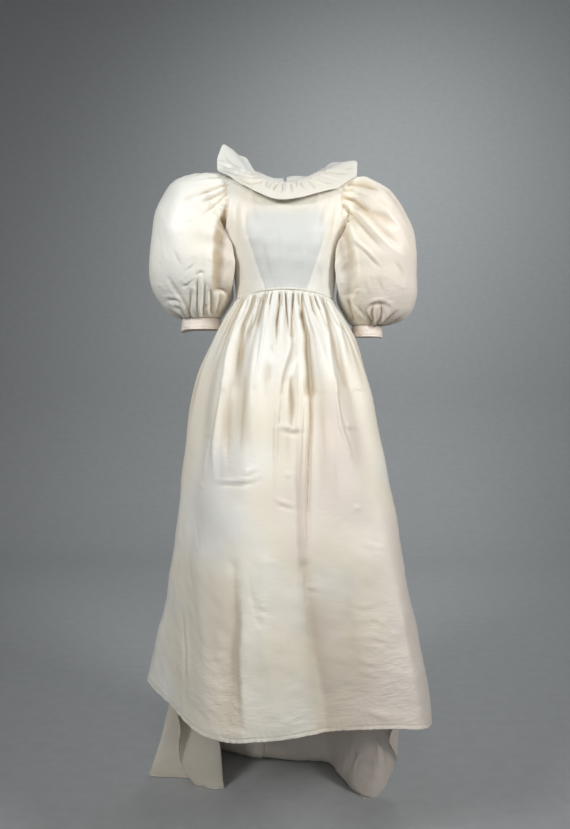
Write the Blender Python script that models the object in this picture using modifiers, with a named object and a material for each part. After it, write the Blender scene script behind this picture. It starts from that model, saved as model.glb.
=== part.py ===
"""A wedding dress of crisp taffeta, standing out as it does when it is worn.

Round neck with a gathered ruffle, darted bodice with a zip down the back, big puffed sleeves
gathered into plain cuffs, and a gathered skirt whose hem is high in front and runs down at the
sides to a short train. Metres, +Z up. The front faces -Y and +X is to the right as it is looked
at from the front. The origin lies midway between the shoulder seams, where the wearer holds it up.
"""

import math

import bmesh
import bpy
from mathutils import Matrix, Vector

# Cloth walls and the gap left at each seam
WALL = 0.0015
CUFF_WALL = 0.0022
SEAM_GAP = 0.0004
SHOULDER_GAP = 0.00065
LAY_GAP = 0.0003
WAIST_GAP = 0.0008

# Levels and main half widths
SHOULDER_Y = 0.012
NECK_HALF = 0.073
NECK_FRONT = 0.074
NECK_BACK = 0.056
NECK_DROP_FRONT = 0.037
NECK_DROP_BACK = 0.018
SHOULDER_TIP_X = 0.112
SHOULDER_TIP_DROP = 0.007
UNDERARM_Z = -0.150
WAIST_HALF = 0.104
WAIST_Z_FRONT = -0.256
WAIST_Z_SIDE = -0.272
WAIST_Z_BACK = -0.266
FLOOR_Z = -1.468

# Torso sections under the shoulders: height, half width, front depth, back depth
TORSO = {
    "z": (0.0, -0.006, -0.020, -0.037, -0.070, -0.110, -0.150, -0.190, -0.230, -0.275),
    "half": (0.235, 0.230, 0.220, 0.205, 0.180, 0.155, 0.132, 0.117, 0.108, 0.104),
    "front": (0.0, 0.030, 0.059, 0.078, 0.096, 0.108, 0.112, 0.106, 0.095, 0.089),
    "back": (0.0, 0.030, 0.056, 0.069, 0.085, 0.094, 0.095, 0.090, 0.085, 0.086),
}
ARMHOLE = {
    "z": (-0.007, -0.040, -0.080, -0.110, -0.130, -0.143, -0.150),
    "x": (0.112, 0.1135, 0.1150, 0.1175, 0.1225, 0.1280, 0.132),
}
# Rows of points up the bodice, waist to chest and chest to neck, the columns of half a panel,
# and the share of them that ends at the neck edge
BODICE_LEVELS = (0.0, 0.30, 0.64, 1.0)
YOKE_LEVELS = (0.07, 0.22, 0.45, 0.72, 1.0)
BODICE_COLUMNS = 9
NECK_SHARE = 0.66
BODICE_ROUNDNESS = 2.2

# Skirt sections as they stand without folds: height, reach to each side
SKIRT = {
    "z": (-0.256, -0.280, -0.310, -0.350, -0.410, -0.470, -0.515, -0.620, -0.740, -0.860,
          -0.950, -1.035, -1.105, -1.250, -1.468),
    "left": (0.103, 0.111, 0.130, 0.151, 0.178, 0.194, 0.203, 0.217, 0.233, 0.255,
             0.271, 0.292, 0.311, 0.320, 0.330),
    "right": (0.103, 0.108, 0.126, 0.151, 0.172, 0.188, 0.197, 0.219, 0.242, 0.263,
              0.281, 0.296, 0.305, 0.305, 0.300),
    "front": (0.088, 0.100, 0.118, 0.136, 0.156, 0.172, 0.182, 0.203, 0.225, 0.245,
              0.259, 0.272, 0.283, 0.290, 0.300),
    "back": (0.086, 0.104, 0.128, 0.152, 0.178, 0.194, 0.202, 0.216, 0.226, 0.233,
             0.238, 0.241, 0.243, 0.246, 0.250),
}
# Hem, one row for each bend or fold on the way round: turn from the front in degrees, place,
# and how far the train runs on along the floor behind it
HEM_COLUMNS = ("turn", "x", "y", "z", "train")
HEM = (
    (-176, -0.085, 0.245, -1.468, 0.280),
    (-171, -0.140, 0.272, -1.468, 0.230),
    (-166, -0.215, 0.290, -1.468, 0.150),
    (-160, -0.300, 0.262, -1.468, 0.060),
    (-154, -0.350, 0.212, -1.468, 0.0),
    (-147, -0.262, 0.203, -1.468, 0.0),
    (-140, -0.182, 0.187, -1.468, 0.0),
    (-134, -0.151, 0.156, -1.468, 0.0),
    (-128, -0.188, 0.153, -1.468, 0.0),
    (-121, -0.228, 0.170, -1.466, 0.0),
    (-114, -0.257, 0.188, -1.440, 0.0),
    (-107, -0.266, 0.165, -1.370, 0.0),
    (-100, -0.257, 0.130, -1.290, 0.0),
    (-93, -0.268, 0.082, -1.210, 0.0),
    (-86, -0.303, 0.020, -1.140, 0.0),
    (-78, -0.304, -0.034, -1.102, 0.0),
    (-68, -0.278, -0.080, -1.100, 0.0),
    (-57, -0.238, -0.142, -1.100, 0.0),
    (-46, -0.198, -0.208, -1.100, 0.0),
    (-35, -0.153, -0.266, -1.100, 0.0),
    (-24, -0.103, -0.294, -1.100, 0.0),
    (-12, -0.053, -0.291, -1.100, 0.0),
    (0, -0.003, -0.282, -1.100, 0.0),
    (11, 0.051, -0.265, -1.100, 0.0),
    (22, 0.106, -0.250, -1.100, 0.0),
    (33, 0.160, -0.244, -1.100, 0.0),
    (44, 0.214, -0.243, -1.100, 0.0),
    (54, 0.262, -0.238, -1.103, 0.0),
    (63, 0.287, -0.200, -1.114, 0.0),
    (74, 0.297, -0.125, -1.130, 0.0),
    (85, 0.297, -0.040, -1.165, 0.0),
    (95, 0.270, 0.045, -1.230, 0.0),
    (104, 0.252, 0.100, -1.310, 0.0),
    (112, 0.273, 0.125, -1.375, 0.0),
    (120, 0.247, 0.125, -1.445, 0.0),
    (128, 0.214, 0.118, -1.468, 0.0),
    (135, 0.174, 0.132, -1.468, 0.030),
    (142, 0.137, 0.166, -1.468, 0.120),
    (150, 0.104, 0.212, -1.468, 0.220),
    (160, 0.056, 0.228, -1.468, 0.280),
    (172, -0.010, 0.234, -1.468, 0.300),
    (184, -0.085, 0.245, -1.468, 0.280),
)
# Soft folds that fall from the waist: turn at the waist and lower down, half width in degrees,
# depth outwards, and where along the drop each starts, is deepest and ends
FALL_COLUMNS = ("turn", "turn_low", "spread", "depth", "start", "deepest", "end")
FALLS = (
    (13, 11, 7, -0.017, 0.03, 0.20, 0.62),
    (-5, -3, 6, 0.006, 0.03, 0.16, 0.45),
    (-21, -19, 7, 0.009, 0.03, 0.18, 0.60),
    (-31, -30, 5, -0.006, 0.04, 0.18, 0.50),
    (-43, -42, 7, 0.008, 0.04, 0.20, 0.70),
    (-60, -58, 8, -0.007, 0.05, 0.25, 0.70),
    (22, 37, 7, 0.010, 0.03, 0.20, 0.55),
    (44, 52, 7, -0.007, 0.05, 0.24, 0.60),
    (62, 66, 8, 0.007, 0.05, 0.25, 0.75),
    (84, 84, 8, -0.006, 0.05, 0.25, 0.70),
    (-80, -78, 8, 0.007, 0.05, 0.25, 0.70),
    (108, 106, 8, 0.010, 0.04, 0.30, 0.90),
    (124, 122, 7, -0.011, 0.04, 0.28, 0.90),
    (143, 141, 8, 0.012, 0.04, 0.30, 0.95),
    (159, 158, 7, -0.010, 0.04, 0.26, 0.90),
    (-101, -99, 8, -0.008, 0.04, 0.28, 0.80),
    (-119, -118, 8, 0.012, 0.04, 0.30, 0.90),
    (-137, -136, 7, -0.011, 0.04, 0.28, 0.90),
    (-156, -155, 8, 0.012, 0.04, 0.26, 0.90),
)
# Gathers round the waist, their depth and how far down each of them runs
SKIRT_GATHERS = 48
GATHER_DEPTH = 0.0024
GATHER_RUNS = (0.10, 0.19, 0.13, 0.25, 0.09, 0.16, 0.22)
# Rows of points down the skirt, as shares of its cloth: near the waist, then below
FINE_DROPS = (0.0, 0.013, 0.034, 0.064, 0.104)
COARSE_DROPS = (0.155, 0.225, 0.305, 0.390, 0.475, 0.560, 0.640, 0.715, 0.780, 0.825, 0.870,
                0.935, 1.0)
# Where the cloth bends onto the floor, the round of that bend, and the way the train spreads
BEND_SHARES = (0.780, 0.870)
TRAIN_BEND = 0.085
TRAIN_SPREAD = 0.55
TRAIN_BACK = 0.30
HEM_REACH_POWER = 1.7
SIDE_SEAM_STEPS = 24

# Sleeves: how far down the sleeve each section lies, its outer and inner ends seen from the
# front, its middle and half depth front to back, and how far it swells over the bodice front
SLEEVE_COLUMNS = ("along", "outer_x", "outer_z", "inner_x", "inner_z", "mid_y", "depth", "swell")
LEFT_SLEEVE = (
    (0.10, 0.148, 0.004, 0.143, -0.151, 0.006, 0.064, 0.010),
    (0.22, 0.196, -0.003, 0.138, -0.168, 0.004, 0.084, 0.028),
    (0.36, 0.243, -0.025, 0.130, -0.190, 0.002, 0.098, 0.044),
    (0.50, 0.274, -0.081, 0.121, -0.212, 0.004, 0.105, 0.048),
    (0.64, 0.290, -0.155, 0.116, -0.230, 0.010, 0.106, 0.044),
    (0.76, 0.294, -0.215, 0.113, -0.246, 0.018, 0.102, 0.034),
    (0.87, 0.285, -0.257, 0.115, -0.265, 0.028, 0.090, 0.018),
    (0.95, 0.254, -0.296, 0.131, -0.292, 0.034, 0.067, 0.004),
    (1.00, 0.224, -0.306, 0.146, -0.306, 0.036, 0.041, 0.0),
)
RIGHT_SLEEVE = (
    (0.10, 0.147, -0.004, 0.143, -0.151, 0.006, 0.064, 0.010),
    (0.22, 0.186, -0.016, 0.138, -0.168, 0.004, 0.084, 0.028),
    (0.36, 0.228, -0.042, 0.130, -0.192, 0.002, 0.098, 0.044),
    (0.50, 0.260, -0.089, 0.121, -0.216, 0.004, 0.105, 0.048),
    (0.64, 0.282, -0.150, 0.116, -0.236, 0.010, 0.106, 0.044),
    (0.76, 0.286, -0.210, 0.113, -0.256, 0.018, 0.103, 0.034),
    (0.87, 0.287, -0.267, 0.118, -0.278, 0.028, 0.094, 0.018),
    (0.95, 0.265, -0.308, 0.137, -0.309, 0.034, 0.070, 0.004),
    (1.00, 0.211, -0.322, 0.153, -0.322, 0.036, 0.038, 0.0),
)
SLEEVE_GATHERS = 22
SLEEVE_HEAD_DEPTH = 0.0040
SLEEVE_CUFF_DEPTH = 0.0034
SLEEVE_ROWS = (0.0, 0.05, 0.12, 0.22, 0.34, 0.47, 0.60, 0.72, 0.83, 0.91, 0.965, 1.0)
SLEEVE_STANDOFF = 0.0014
SWELL_TURN = 236.0
SWELL_SPREAD = 26.0
# Deep folds on the sleeves: turn round the sleeve, half width, depth, start and end along it
SLEEVE_FOLD_COLUMNS = ("turn", "spread", "depth", "start", "end")
LEFT_SLEEVE_FOLDS = (
    (248, 15, -0.011, 0.10, 0.86),
    (292, 20, 0.004, 0.15, 0.80),
    (60, 20, -0.006, 0.20, 0.90),
    (120, 16, -0.008, 0.10, 0.80),
)
RIGHT_SLEEVE_FOLDS = (
    (244, 14, -0.010, 0.06, 0.90),
    (300, 16, 0.005, 0.08, 0.62),
    (330, 12, -0.006, 0.15, 0.60),
    (60, 20, -0.006, 0.20, 0.90),
    (118, 16, -0.008, 0.10, 0.80),
)
CUFF_HEIGHT = 0.024
CUFF_COLUMNS = 28
CUFF_LEVELS = ((0.0, 1.0), (0.5, 1.02), (1.0, 1.035))

# Ruffle: where its outer edge lies, by the turn round the neck
RUFFLE_COLUMNS = ("turn", "x", "y", "z")
RUFFLE = (
    (-178, -0.004, 0.118, 0.020),
    (-160, -0.050, 0.118, 0.026),
    (-138, -0.090, 0.096, 0.034),
    (-116, -0.120, 0.058, 0.048),
    (-102, -0.138, 0.022, 0.061),
    (-91, -0.150, 0.0, 0.036),
    (-80, -0.147, -0.022, 0.010),
    (-68, -0.122, -0.050, -0.018),
    (-55, -0.100, -0.076, -0.045),
    (-38, -0.073, -0.094, -0.066),
    (-20, -0.045, -0.103, -0.077),
    (0, 0.0, -0.107, -0.080),
    (20, 0.045, -0.103, -0.076),
    (38, 0.080, -0.090, -0.064),
    (56, 0.112, -0.070, -0.050),
    (70, 0.140, -0.048, -0.024),
    (80, 0.154, -0.026, 0.002),
    (92, 0.157, 0.002, 0.030),
    (112, 0.132, 0.052, 0.034),
    (138, 0.092, 0.096, 0.030),
    (160, 0.050, 0.118, 0.024),
    (178, 0.004, 0.118, 0.020),
)
RUFFLE_GATHERS = 40
RUFFLE_GATHER_DEPTH = 0.0011
RUFFLE_WAVES = 13
RUFFLE_WAVE_DEPTH = 0.0028
RUFFLE_LIFT = 0.0075
RUFFLE_ROOT = 0.0013
RUFFLE_ROWS = (0.0, 0.12, 0.45, 1.0)

# Darts: apex and the two ends at the waist, across the front
DARTS = {
    "dart_left": {"apex": (-0.083, -0.136), "inner": -0.042, "outer": -0.074},
    "dart_right": {"apex": (0.083, -0.142), "inner": 0.045, "outer": 0.074},
}
DART_WALL = 0.0010
DART_INSET = WALL / 2 + LAY_GAP + DART_WALL / 2 + 0.0005
DART_ROWS = 6
DART_COLUMNS = 3
DART_RISE = 0.93

# Zip down the centre back
ZIP_TOP_Z = -0.040
ZIP_TAPE_TOP_Z = -0.024
ZIP_BELOW_WAIST = 0.060
TAPE_WIDTH = 0.022
TAPE_WALL = 0.0008
TAPE_CLEAR = LAY_GAP + GATHER_DEPTH + 0.0006
SLIDER_LENGTH = 0.0090
SLIDER_WIDTH = 0.0056
SLIDER_DEPTH = 0.0026
ARCH_WIDTH = 0.0016
ARCH_RISE = 0.0034
ARCH_SPAN = 0.0060
ARCH_BAR = 0.0010
TAB_LENGTH = 0.0180
TAB_WIDTH = 0.0050
TAB_EYE_WIDTH = 0.0026
TAB_BAR = 0.0009
TAB_EYE_PLAY = 0.0014

# Thread loop on the hem that hooks the train up
LOOP_TURN = 133.0
LOOP_LENGTH = 0.024
LOOP_HALF_WIDTH = 0.0055
LOOP_CORD = 0.0018
LOOP_POINTS = 16

COLLECTION = "wedding_dress"
TAFFETA = ((0.86, 0.81, 0.74, 1.0), 0.55, 0.0)
TAFFETA_SINGLE = ((0.80, 0.78, 0.74, 1.0), 0.55, 0.0)
NYLON = ((0.85, 0.82, 0.76, 1.0), 0.45, 0.0)
ENAMELLED_ZINC = ((0.88, 0.86, 0.80, 1.0), 0.35, 0.4)


def clear_scene():
    for item in list(bpy.data.objects):
        bpy.data.objects.remove(item, do_unlink=True)


def ease(value, low, high):
    part = min(1.0, max(0.0, (value - low) / (high - low)))
    return part * part * (3.0 - 2.0 * part)


def hump(value, start, peak, end):
    if value <= peak:
        return ease(value, start, peak)
    return 1.0 - ease(value, peak, end)


def smooth_at(keys, values, key):
    """Value of a smooth curve through a short table, with no overshoot past its ends."""
    rising = keys[-1] > keys[0]
    place = 0
    last = len(keys) - 2
    while place < last and ((key > keys[place + 1]) if rising else (key < keys[place + 1])):
        place += 1
    low, high = keys[place], keys[place + 1]
    part = min(1.0, max(0.0, (key - low) / (high - low)))

    def slope(index):
        if index == 0 or index == len(keys) - 1:
            return None
        return (values[index + 1] - values[index - 1]) / (keys[index + 1] - keys[index - 1])

    chord = (values[place + 1] - values[place]) / (high - low)
    first = slope(place)
    second = slope(place + 1)
    first = chord if first is None else first
    second = chord if second is None else second
    span = high - low
    square = part * part
    cube = square * part
    return ((2 * cube - 3 * square + 1) * values[place] + (cube - 2 * square + part) * span * first
            + (3 * square - 2 * cube) * values[place + 1] + (cube - square) * span * second)


def columns_of(rows, names):
    return {name: tuple(row[index] for row in rows) for index, name in enumerate(names)}


HEM_TABLE = columns_of(HEM, HEM_COLUMNS)
RUFFLE_TABLE = columns_of(RUFFLE, RUFFLE_COLUMNS)
SLEEVE_TABLES = {
    "left": columns_of(LEFT_SLEEVE, SLEEVE_COLUMNS),
    "right": columns_of(RIGHT_SLEEVE, SLEEVE_COLUMNS),
}
SLEEVE_FOLDS = {"left": LEFT_SLEEVE_FOLDS, "right": RIGHT_SLEEVE_FOLDS}


def signed_turn(turn):
    return (turn + 180.0) % 360.0 - 180.0


def waist_z(turn):
    lean = math.cos(math.radians(turn))
    middle = WAIST_Z_FRONT if lean > 0 else WAIST_Z_BACK
    return WAIST_Z_SIDE + (middle - WAIST_Z_SIDE) * lean * lean


def neck_point(turn):
    """A point on the neck edge, by the turn round it from the front."""
    lean = math.cos(math.radians(turn))
    reach, drop = (NECK_FRONT, NECK_DROP_FRONT) if lean > 0 else (NECK_BACK, NECK_DROP_BACK)
    return Vector((NECK_HALF * math.sin(math.radians(turn)), SHOULDER_Y - reach * lean,
                   -drop * lean * lean))


def torso_point(x, z, front):
    """A point of the bodice by its place seen from the front."""
    drop_out = SHOULDER_TIP_DROP * max(0.0, abs(x) - NECK_HALF) / (SHOULDER_TIP_X - NECK_HALF)
    level = min(0.0, z + drop_out * ease(z, UNDERARM_Z, -0.02))
    half = smooth_at(TORSO["z"], TORSO["half"], level)
    depth = smooth_at(TORSO["z"], TORSO["front" if front else "back"], level)
    across = min(1.0, abs(x) / half)
    axis_y = SHOULDER_Y * ease(z, waist_z(90.0), -0.05)
    out = depth * math.sqrt(max(0.0, 1.0 - across ** BODICE_ROUNDNESS))
    return Vector((x, axis_y - out if front else axis_y + out, z))


def armhole_x(z):
    if z <= UNDERARM_Z:
        return smooth_at(TORSO["z"], TORSO["half"], z)
    return smooth_at(ARMHOLE["z"], ARMHOLE["x"], max(UNDERARM_Z, min(-SHOULDER_TIP_DROP, z)))


def bodice_column(side, front):
    """One column of the bodice: side runs from 0 at the centre to 1 at the side and armhole."""
    reach = abs(side)
    sign = 1.0 if side >= 0 else -1.0
    turn = reach * 90.0 if front else 180.0 - reach * 90.0
    if reach <= NECK_SHARE:
        lean = reach / NECK_SHARE * 90.0
        top = neck_point(lean if front else 180.0 - lean)
    else:
        part = (reach - NECK_SHARE) / (1.0 - NECK_SHARE)
        top = Vector((NECK_HALF + (SHOULDER_TIP_X - NECK_HALF) * part, SHOULDER_Y,
                      -SHOULDER_TIP_DROP * part))
    foot_z = waist_z(turn)
    column = []
    for level in BODICE_LEVELS:
        z = foot_z + (UNDERARM_Z - foot_z) * level
        x = armhole_x(z) * math.sin(math.radians(90.0 * reach))
        column.append(torso_point(x, z, front))
    chest = column[-1]
    for level in YOKE_LEVELS:
        z = UNDERARM_Z + (top.z - UNDERARM_Z) * level
        edge = armhole_x(z)
        round_x = math.sin(math.radians(90.0 * reach))
        x_here = edge * (round_x + (reach - round_x) * ease(level, 0.0, 0.45))
        x = x_here + (top.x - edge * reach) * level ** 3 if level < 1.0 else top.x
        point = torso_point(x, z, front)
        if level == 1.0:
            point = top
        elif reach <= NECK_SHARE:
            settled = torso_point(top.x, top.z, front)
            point = point + (top - settled) * level ** 3
        column.append(point)
    for point in column:
        point.x *= sign
    return column


def new_material(name, look):
    colour, roughness, metallic = look
    material = bpy.data.materials.new(name)
    material.use_nodes = True
    shader = material.node_tree.nodes["Principled BSDF"]
    shader.inputs["Base Color"].default_value = colour
    shader.inputs["Roughness"].default_value = roughness
    shader.inputs["Metallic"].default_value = metallic
    material.diffuse_color = colour
    return material


def add_object(name, points, faces, look, collection, wall=0.0):
    """Make a mesh object, and give an open surface its wall."""
    mesh = bpy.data.meshes.new(name)
    mesh.from_pydata([tuple(point) for point in points], [], faces)
    mesh.update()
    mesh.materials.append(new_material(name, look))
    mesh.shade_smooth()
    mesh.set_sharp_from_angle(angle=math.radians(50))
    item = bpy.data.objects.new(name, mesh)
    collection.objects.link(item)
    if wall:
        shell = item.modifiers.new("wall", "SOLIDIFY")
        shell.thickness = wall
        shell.offset = 0.0
        shell.use_even_offset = True
        shell.use_quality_normals = True
    return item


def grid_faces(columns, rows, closed=False, flip=False):
    """Quads of a grid whose points run row by row along each column."""
    faces = []
    for column in range(columns if closed else columns - 1):
        after = (column + 1) % columns
        for row in range(rows - 1):
            face = (column * rows + row, after * rows + row, after * rows + row + 1,
                    column * rows + row + 1)
            faces.append(face[::-1] if flip else face)
    return faces


def nudge_edge(columns, edge, inner, distance):
    """Draw an edge column back from a seam, towards its neighbour."""
    for point, towards in zip(columns[edge], columns[inner]):
        step = towards - point
        if step.length > distance:
            point += step.normalized() * distance


def draw_down(columns, row, towards, distance):
    for column in columns:
        step = column[towards] - column[row]
        column[row] += step.normalized() * distance


def build_bodice(collection):
    rows = len(BODICE_LEVELS) + len(YOKE_LEVELS)
    spread = [index / (BODICE_COLUMNS - 1) for index in range(BODICE_COLUMNS)]

    def column_set(sides, front):
        columns = [bodice_column(side, front) for side in sides]
        draw_down(columns, 0, 1, SEAM_GAP / 2)
        for side, column in zip(sides, columns):
            if abs(side) > NECK_SHARE - 0.02:
                column[-1].y += -SHOULDER_GAP if front else SHOULDER_GAP
        return columns

    sides = [-value for value in reversed(spread[1:])] + spread
    front = column_set(sides, True)
    nudge_edge(front, 0, 1, SEAM_GAP / 2)
    nudge_edge(front, -1, -2, SEAM_GAP / 2)
    points = [point for column in front for point in column]
    add_object("bodice_front", points, grid_faces(len(front), rows), TAFFETA_SINGLE,
               collection, WALL)

    for name, sign in (("bodice_back_left", -1.0), ("bodice_back_right", 1.0)):
        back = column_set([sign * value for value in spread], False)
        nudge_edge(back, 0, 1, SEAM_GAP / 2)
        nudge_edge(back, -1, -2, SEAM_GAP / 2)
        points = [point for column in back for point in column]
        add_object(name, points, grid_faces(len(back), rows, flip=sign > 0), TAFFETA_SINGLE,
                   collection, WALL)


def along_line(line, key, value):
    """A point on a line of points, where one of its coordinates has a value."""
    place = 0
    rising = line[-1][key] > line[0][key]
    while place < len(line) - 2 and ((value > line[place + 1][key]) == rising):
        place += 1
    part = (value - line[place][key]) / (line[place + 1][key] - line[place][key])
    return line[place].lerp(line[place + 1], part)


def front_inside(columns, x, z, inset):
    """A point inside the bodice front, moved in from its facets."""
    step = 0.004

    def facet(at_x, at_z):
        level = [along_line(column, 2, at_z) for column in columns]
        return along_line(level, 0, at_x)

    across = facet(x + step, z) - facet(x - step, z)
    up = facet(x, z + step) - facet(x, z - step)
    return facet(x, z) - across.cross(up).normalized() * inset


def build_darts(collection):
    """The folded cloth of each waist dart, lying inside the bodice front."""
    spread = [index / (BODICE_COLUMNS - 1) for index in range(BODICE_COLUMNS)]
    for name, dart in DARTS.items():
        sign = math.copysign(1.0, dart["apex"][0])
        front = [bodice_column(sign * side, True)[:len(BODICE_LEVELS) + 1] for side in spread]
        points = []
        for column in range(DART_COLUMNS):
            across = column / (DART_COLUMNS - 1)
            for row in range(DART_ROWS):
                rise = row / (DART_ROWS - 1) * DART_RISE
                foot_x = dart["inner"] + (dart["outer"] - dart["inner"]) * across
                turn = math.degrees(math.asin(foot_x / WAIST_HALF))
                foot_z = waist_z(turn) + 0.004
                x = foot_x + (dart["apex"][0] - foot_x) * rise
                z = foot_z + (dart["apex"][1] - foot_z) * rise
                points.append(front_inside(front, x, z, DART_INSET))
        faces = grid_faces(DART_COLUMNS, DART_ROWS, flip=dart["apex"][0] < 0)
        add_object(name, points, faces, TAFFETA, collection, DART_WALL)


def gather_wave(step_place, run_drop, drop):
    """Height of the flat topped gathers: crest on every fourth step, dying out at its own run."""
    phase = step_place % 4.0
    crest = 1.0 if phase < 1.0 or phase > 3.0 else -1.0
    if abs(phase - 1.0) < 1e-6 or abs(phase - 3.0) < 1e-6:
        crest = 0.0
    return crest * (1.0 - ease(drop, 0.35 * run_drop, run_drop))


def skirt_base(turn, z):
    """A point of the skirt as it would stand with no folds."""
    lean = math.radians(turn)
    wide = smooth_at(SKIRT["z"], SKIRT["right" if math.sin(lean) > 0 else "left"], z)
    deep = smooth_at(SKIRT["z"], SKIRT["front" if math.cos(lean) > 0 else "back"], z)
    return Vector((wide * math.sin(lean), -deep * math.cos(lean), z))


def train_path(share, top_z, drop, train):
    """Height and reach along the floor, for a share of the way from waist to hem.

    The cloth falls, bends on a round of its own length and runs on along the floor. Rows of the
    panels meet the start and the end of the bend wherever the train is long enough to have one.
    """
    bend = min(TRAIN_BEND, 0.5 * train)
    low, high = BEND_SHARES
    bent = ease(train, 0.0, 0.16)
    start = low * drop + (drop - bend - low * drop) * bent
    end = high * (drop + train) + (drop + bend - high * (drop + train)) * bent
    if share <= low:
        along = start * share / low
    elif share <= high:
        along = start + (end - start) * (share - low) / (high - low)
    else:
        along = end + (drop + train - end) * (share - high) / (1.0 - high)
    if along <= drop - bend or bend == 0.0:
        return top_z - min(along, drop), max(0.0, along - drop)
    part = min(1.0, (along - drop + bend) / (2.0 * bend))
    z = top_z - drop + bend * (1.0 - part) ** 2
    out = bend * part * part + max(0.0, along - drop - bend)
    return z, out


def skirt_point(turn, share, wave):
    """A point of the skirt: turn round the waist, share of the way down, gather wave height."""
    turn = signed_turn(turn)
    if turn < HEM_TABLE["turn"][0]:
        turn += 360.0
    hem = {key: smooth_at(HEM_TABLE["turn"], HEM_TABLE[key], turn) for key in HEM_COLUMNS[1:]}
    hem["z"] = max(FLOOR_Z, hem["z"])
    train = max(0.0, hem["train"])
    top_z = waist_z(turn)
    drop = top_z - hem["z"]
    z, out = train_path(share, top_z, drop, train)
    fall = (top_z - z) / drop
    base = skirt_base(turn, z)
    foot = skirt_base(turn, hem["z"])
    shift = Vector((hem["x"] - foot.x, hem["y"] - foot.y, 0.0)) * fall ** HEM_REACH_POWER
    point = base + shift
    if out > 0.0:
        away = Vector((point.x * TRAIN_SPREAD, TRAIN_BACK, 0.0)).normalized()
        point += away * out
    outward = Vector((math.sin(math.radians(turn)), -math.cos(math.radians(turn)), 0.0))
    depth = GATHER_DEPTH * wave
    for row in FALLS:
        fold = dict(zip(FALL_COLUMNS, row))
        middle = fold["turn"] + (fold["turn_low"] - fold["turn"]) * ease(share, 0.0, 0.5)
        apart = signed_turn(turn - middle) / fold["spread"]
        depth += (fold["depth"] * math.exp(-apart * apart)
                  * hump(share, fold["start"], fold["deepest"], fold["end"]))
    return point + outward * depth


def build_skirt(collection):
    """Three panels. Near the waist each gather has four columns, and lower down two."""
    steps = SKIRT_GATHERS * 4
    step_turn = 360.0 / steps
    panels = (
        ("skirt_front", -SIDE_SEAM_STEPS * 2, SIDE_SEAM_STEPS * 2),
        ("skirt_back_right", SIDE_SEAM_STEPS * 2, steps // 2),
        ("skirt_back_left", -steps // 2, -SIDE_SEAM_STEPS * 2),
    )
    for name, start, end in panels:
        fine = [float(start)] + [place + 0.5 for place in range(start, end)] + [float(end)]
        coarse = [float(place) for place in range(start, end + 1, 2)]

        def column(place, shares):
            crest = int(math.floor(place / 4.0 + 0.5))
            run = GATHER_RUNS[crest % len(GATHER_RUNS)]
            points = []
            for share in shares:
                turn = place * step_turn
                drop = share * (waist_z(turn) - FLOOR_Z)
                points.append(skirt_point(turn, share, gather_wave(place, run, drop)))
            return points

        upper = [column(place, FINE_DROPS) for place in fine]
        lower = [column(place, COARSE_DROPS) for place in coarse]
        for edge, inner in ((0, 1), (-1, -2)):
            nudge_edge(upper, edge, inner, SEAM_GAP / 2)
            nudge_edge(lower, edge, inner, SEAM_GAP / 2)
        draw_down(upper, 0, 1, WAIST_GAP)
        points = [point for line in upper for point in line]
        first_lower = len(points)
        points += [point for line in lower for point in line]
        rows = len(FINE_DROPS)
        low_rows = len(COARSE_DROPS)
        faces = grid_faces(len(upper), rows, flip=True)
        faces += [tuple(first_lower + index for index in face)
                  for face in grid_faces(len(lower), low_rows, flip=True)]

        def top(index):
            return index * rows + rows - 1

        def low(index):
            return first_lower + index * low_rows

        for index in range(len(lower) - 1):
            left, right = 2 * index + 1, 2 * index + 2
            faces.append((low(index), top(left), top(left - 1)))
            faces.append((low(index), low(index + 1), top(right), top(left)))
        faces.append((low(len(lower) - 1), top(len(upper) - 1), top(len(upper) - 2)))
        add_object(name, points, faces, TAFFETA, collection, WALL)


def armhole_point(turn, sign):
    """The armhole edge: turn 0 at the shoulder tip, 90 at the back, 180 at the underarm."""
    middle = (UNDERARM_Z - SHOULDER_TIP_DROP) / 2
    half = (-SHOULDER_TIP_DROP - UNDERARM_Z) / 2
    z = middle + half * math.cos(math.radians(turn))
    point = torso_point(armhole_x(z), z, math.sin(math.radians(turn)) < 0)
    if abs(math.sin(math.radians(turn))) < 1e-6 and math.cos(math.radians(turn)) > 0:
        point.y = SHOULDER_Y
    point.x *= sign
    return point


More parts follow.
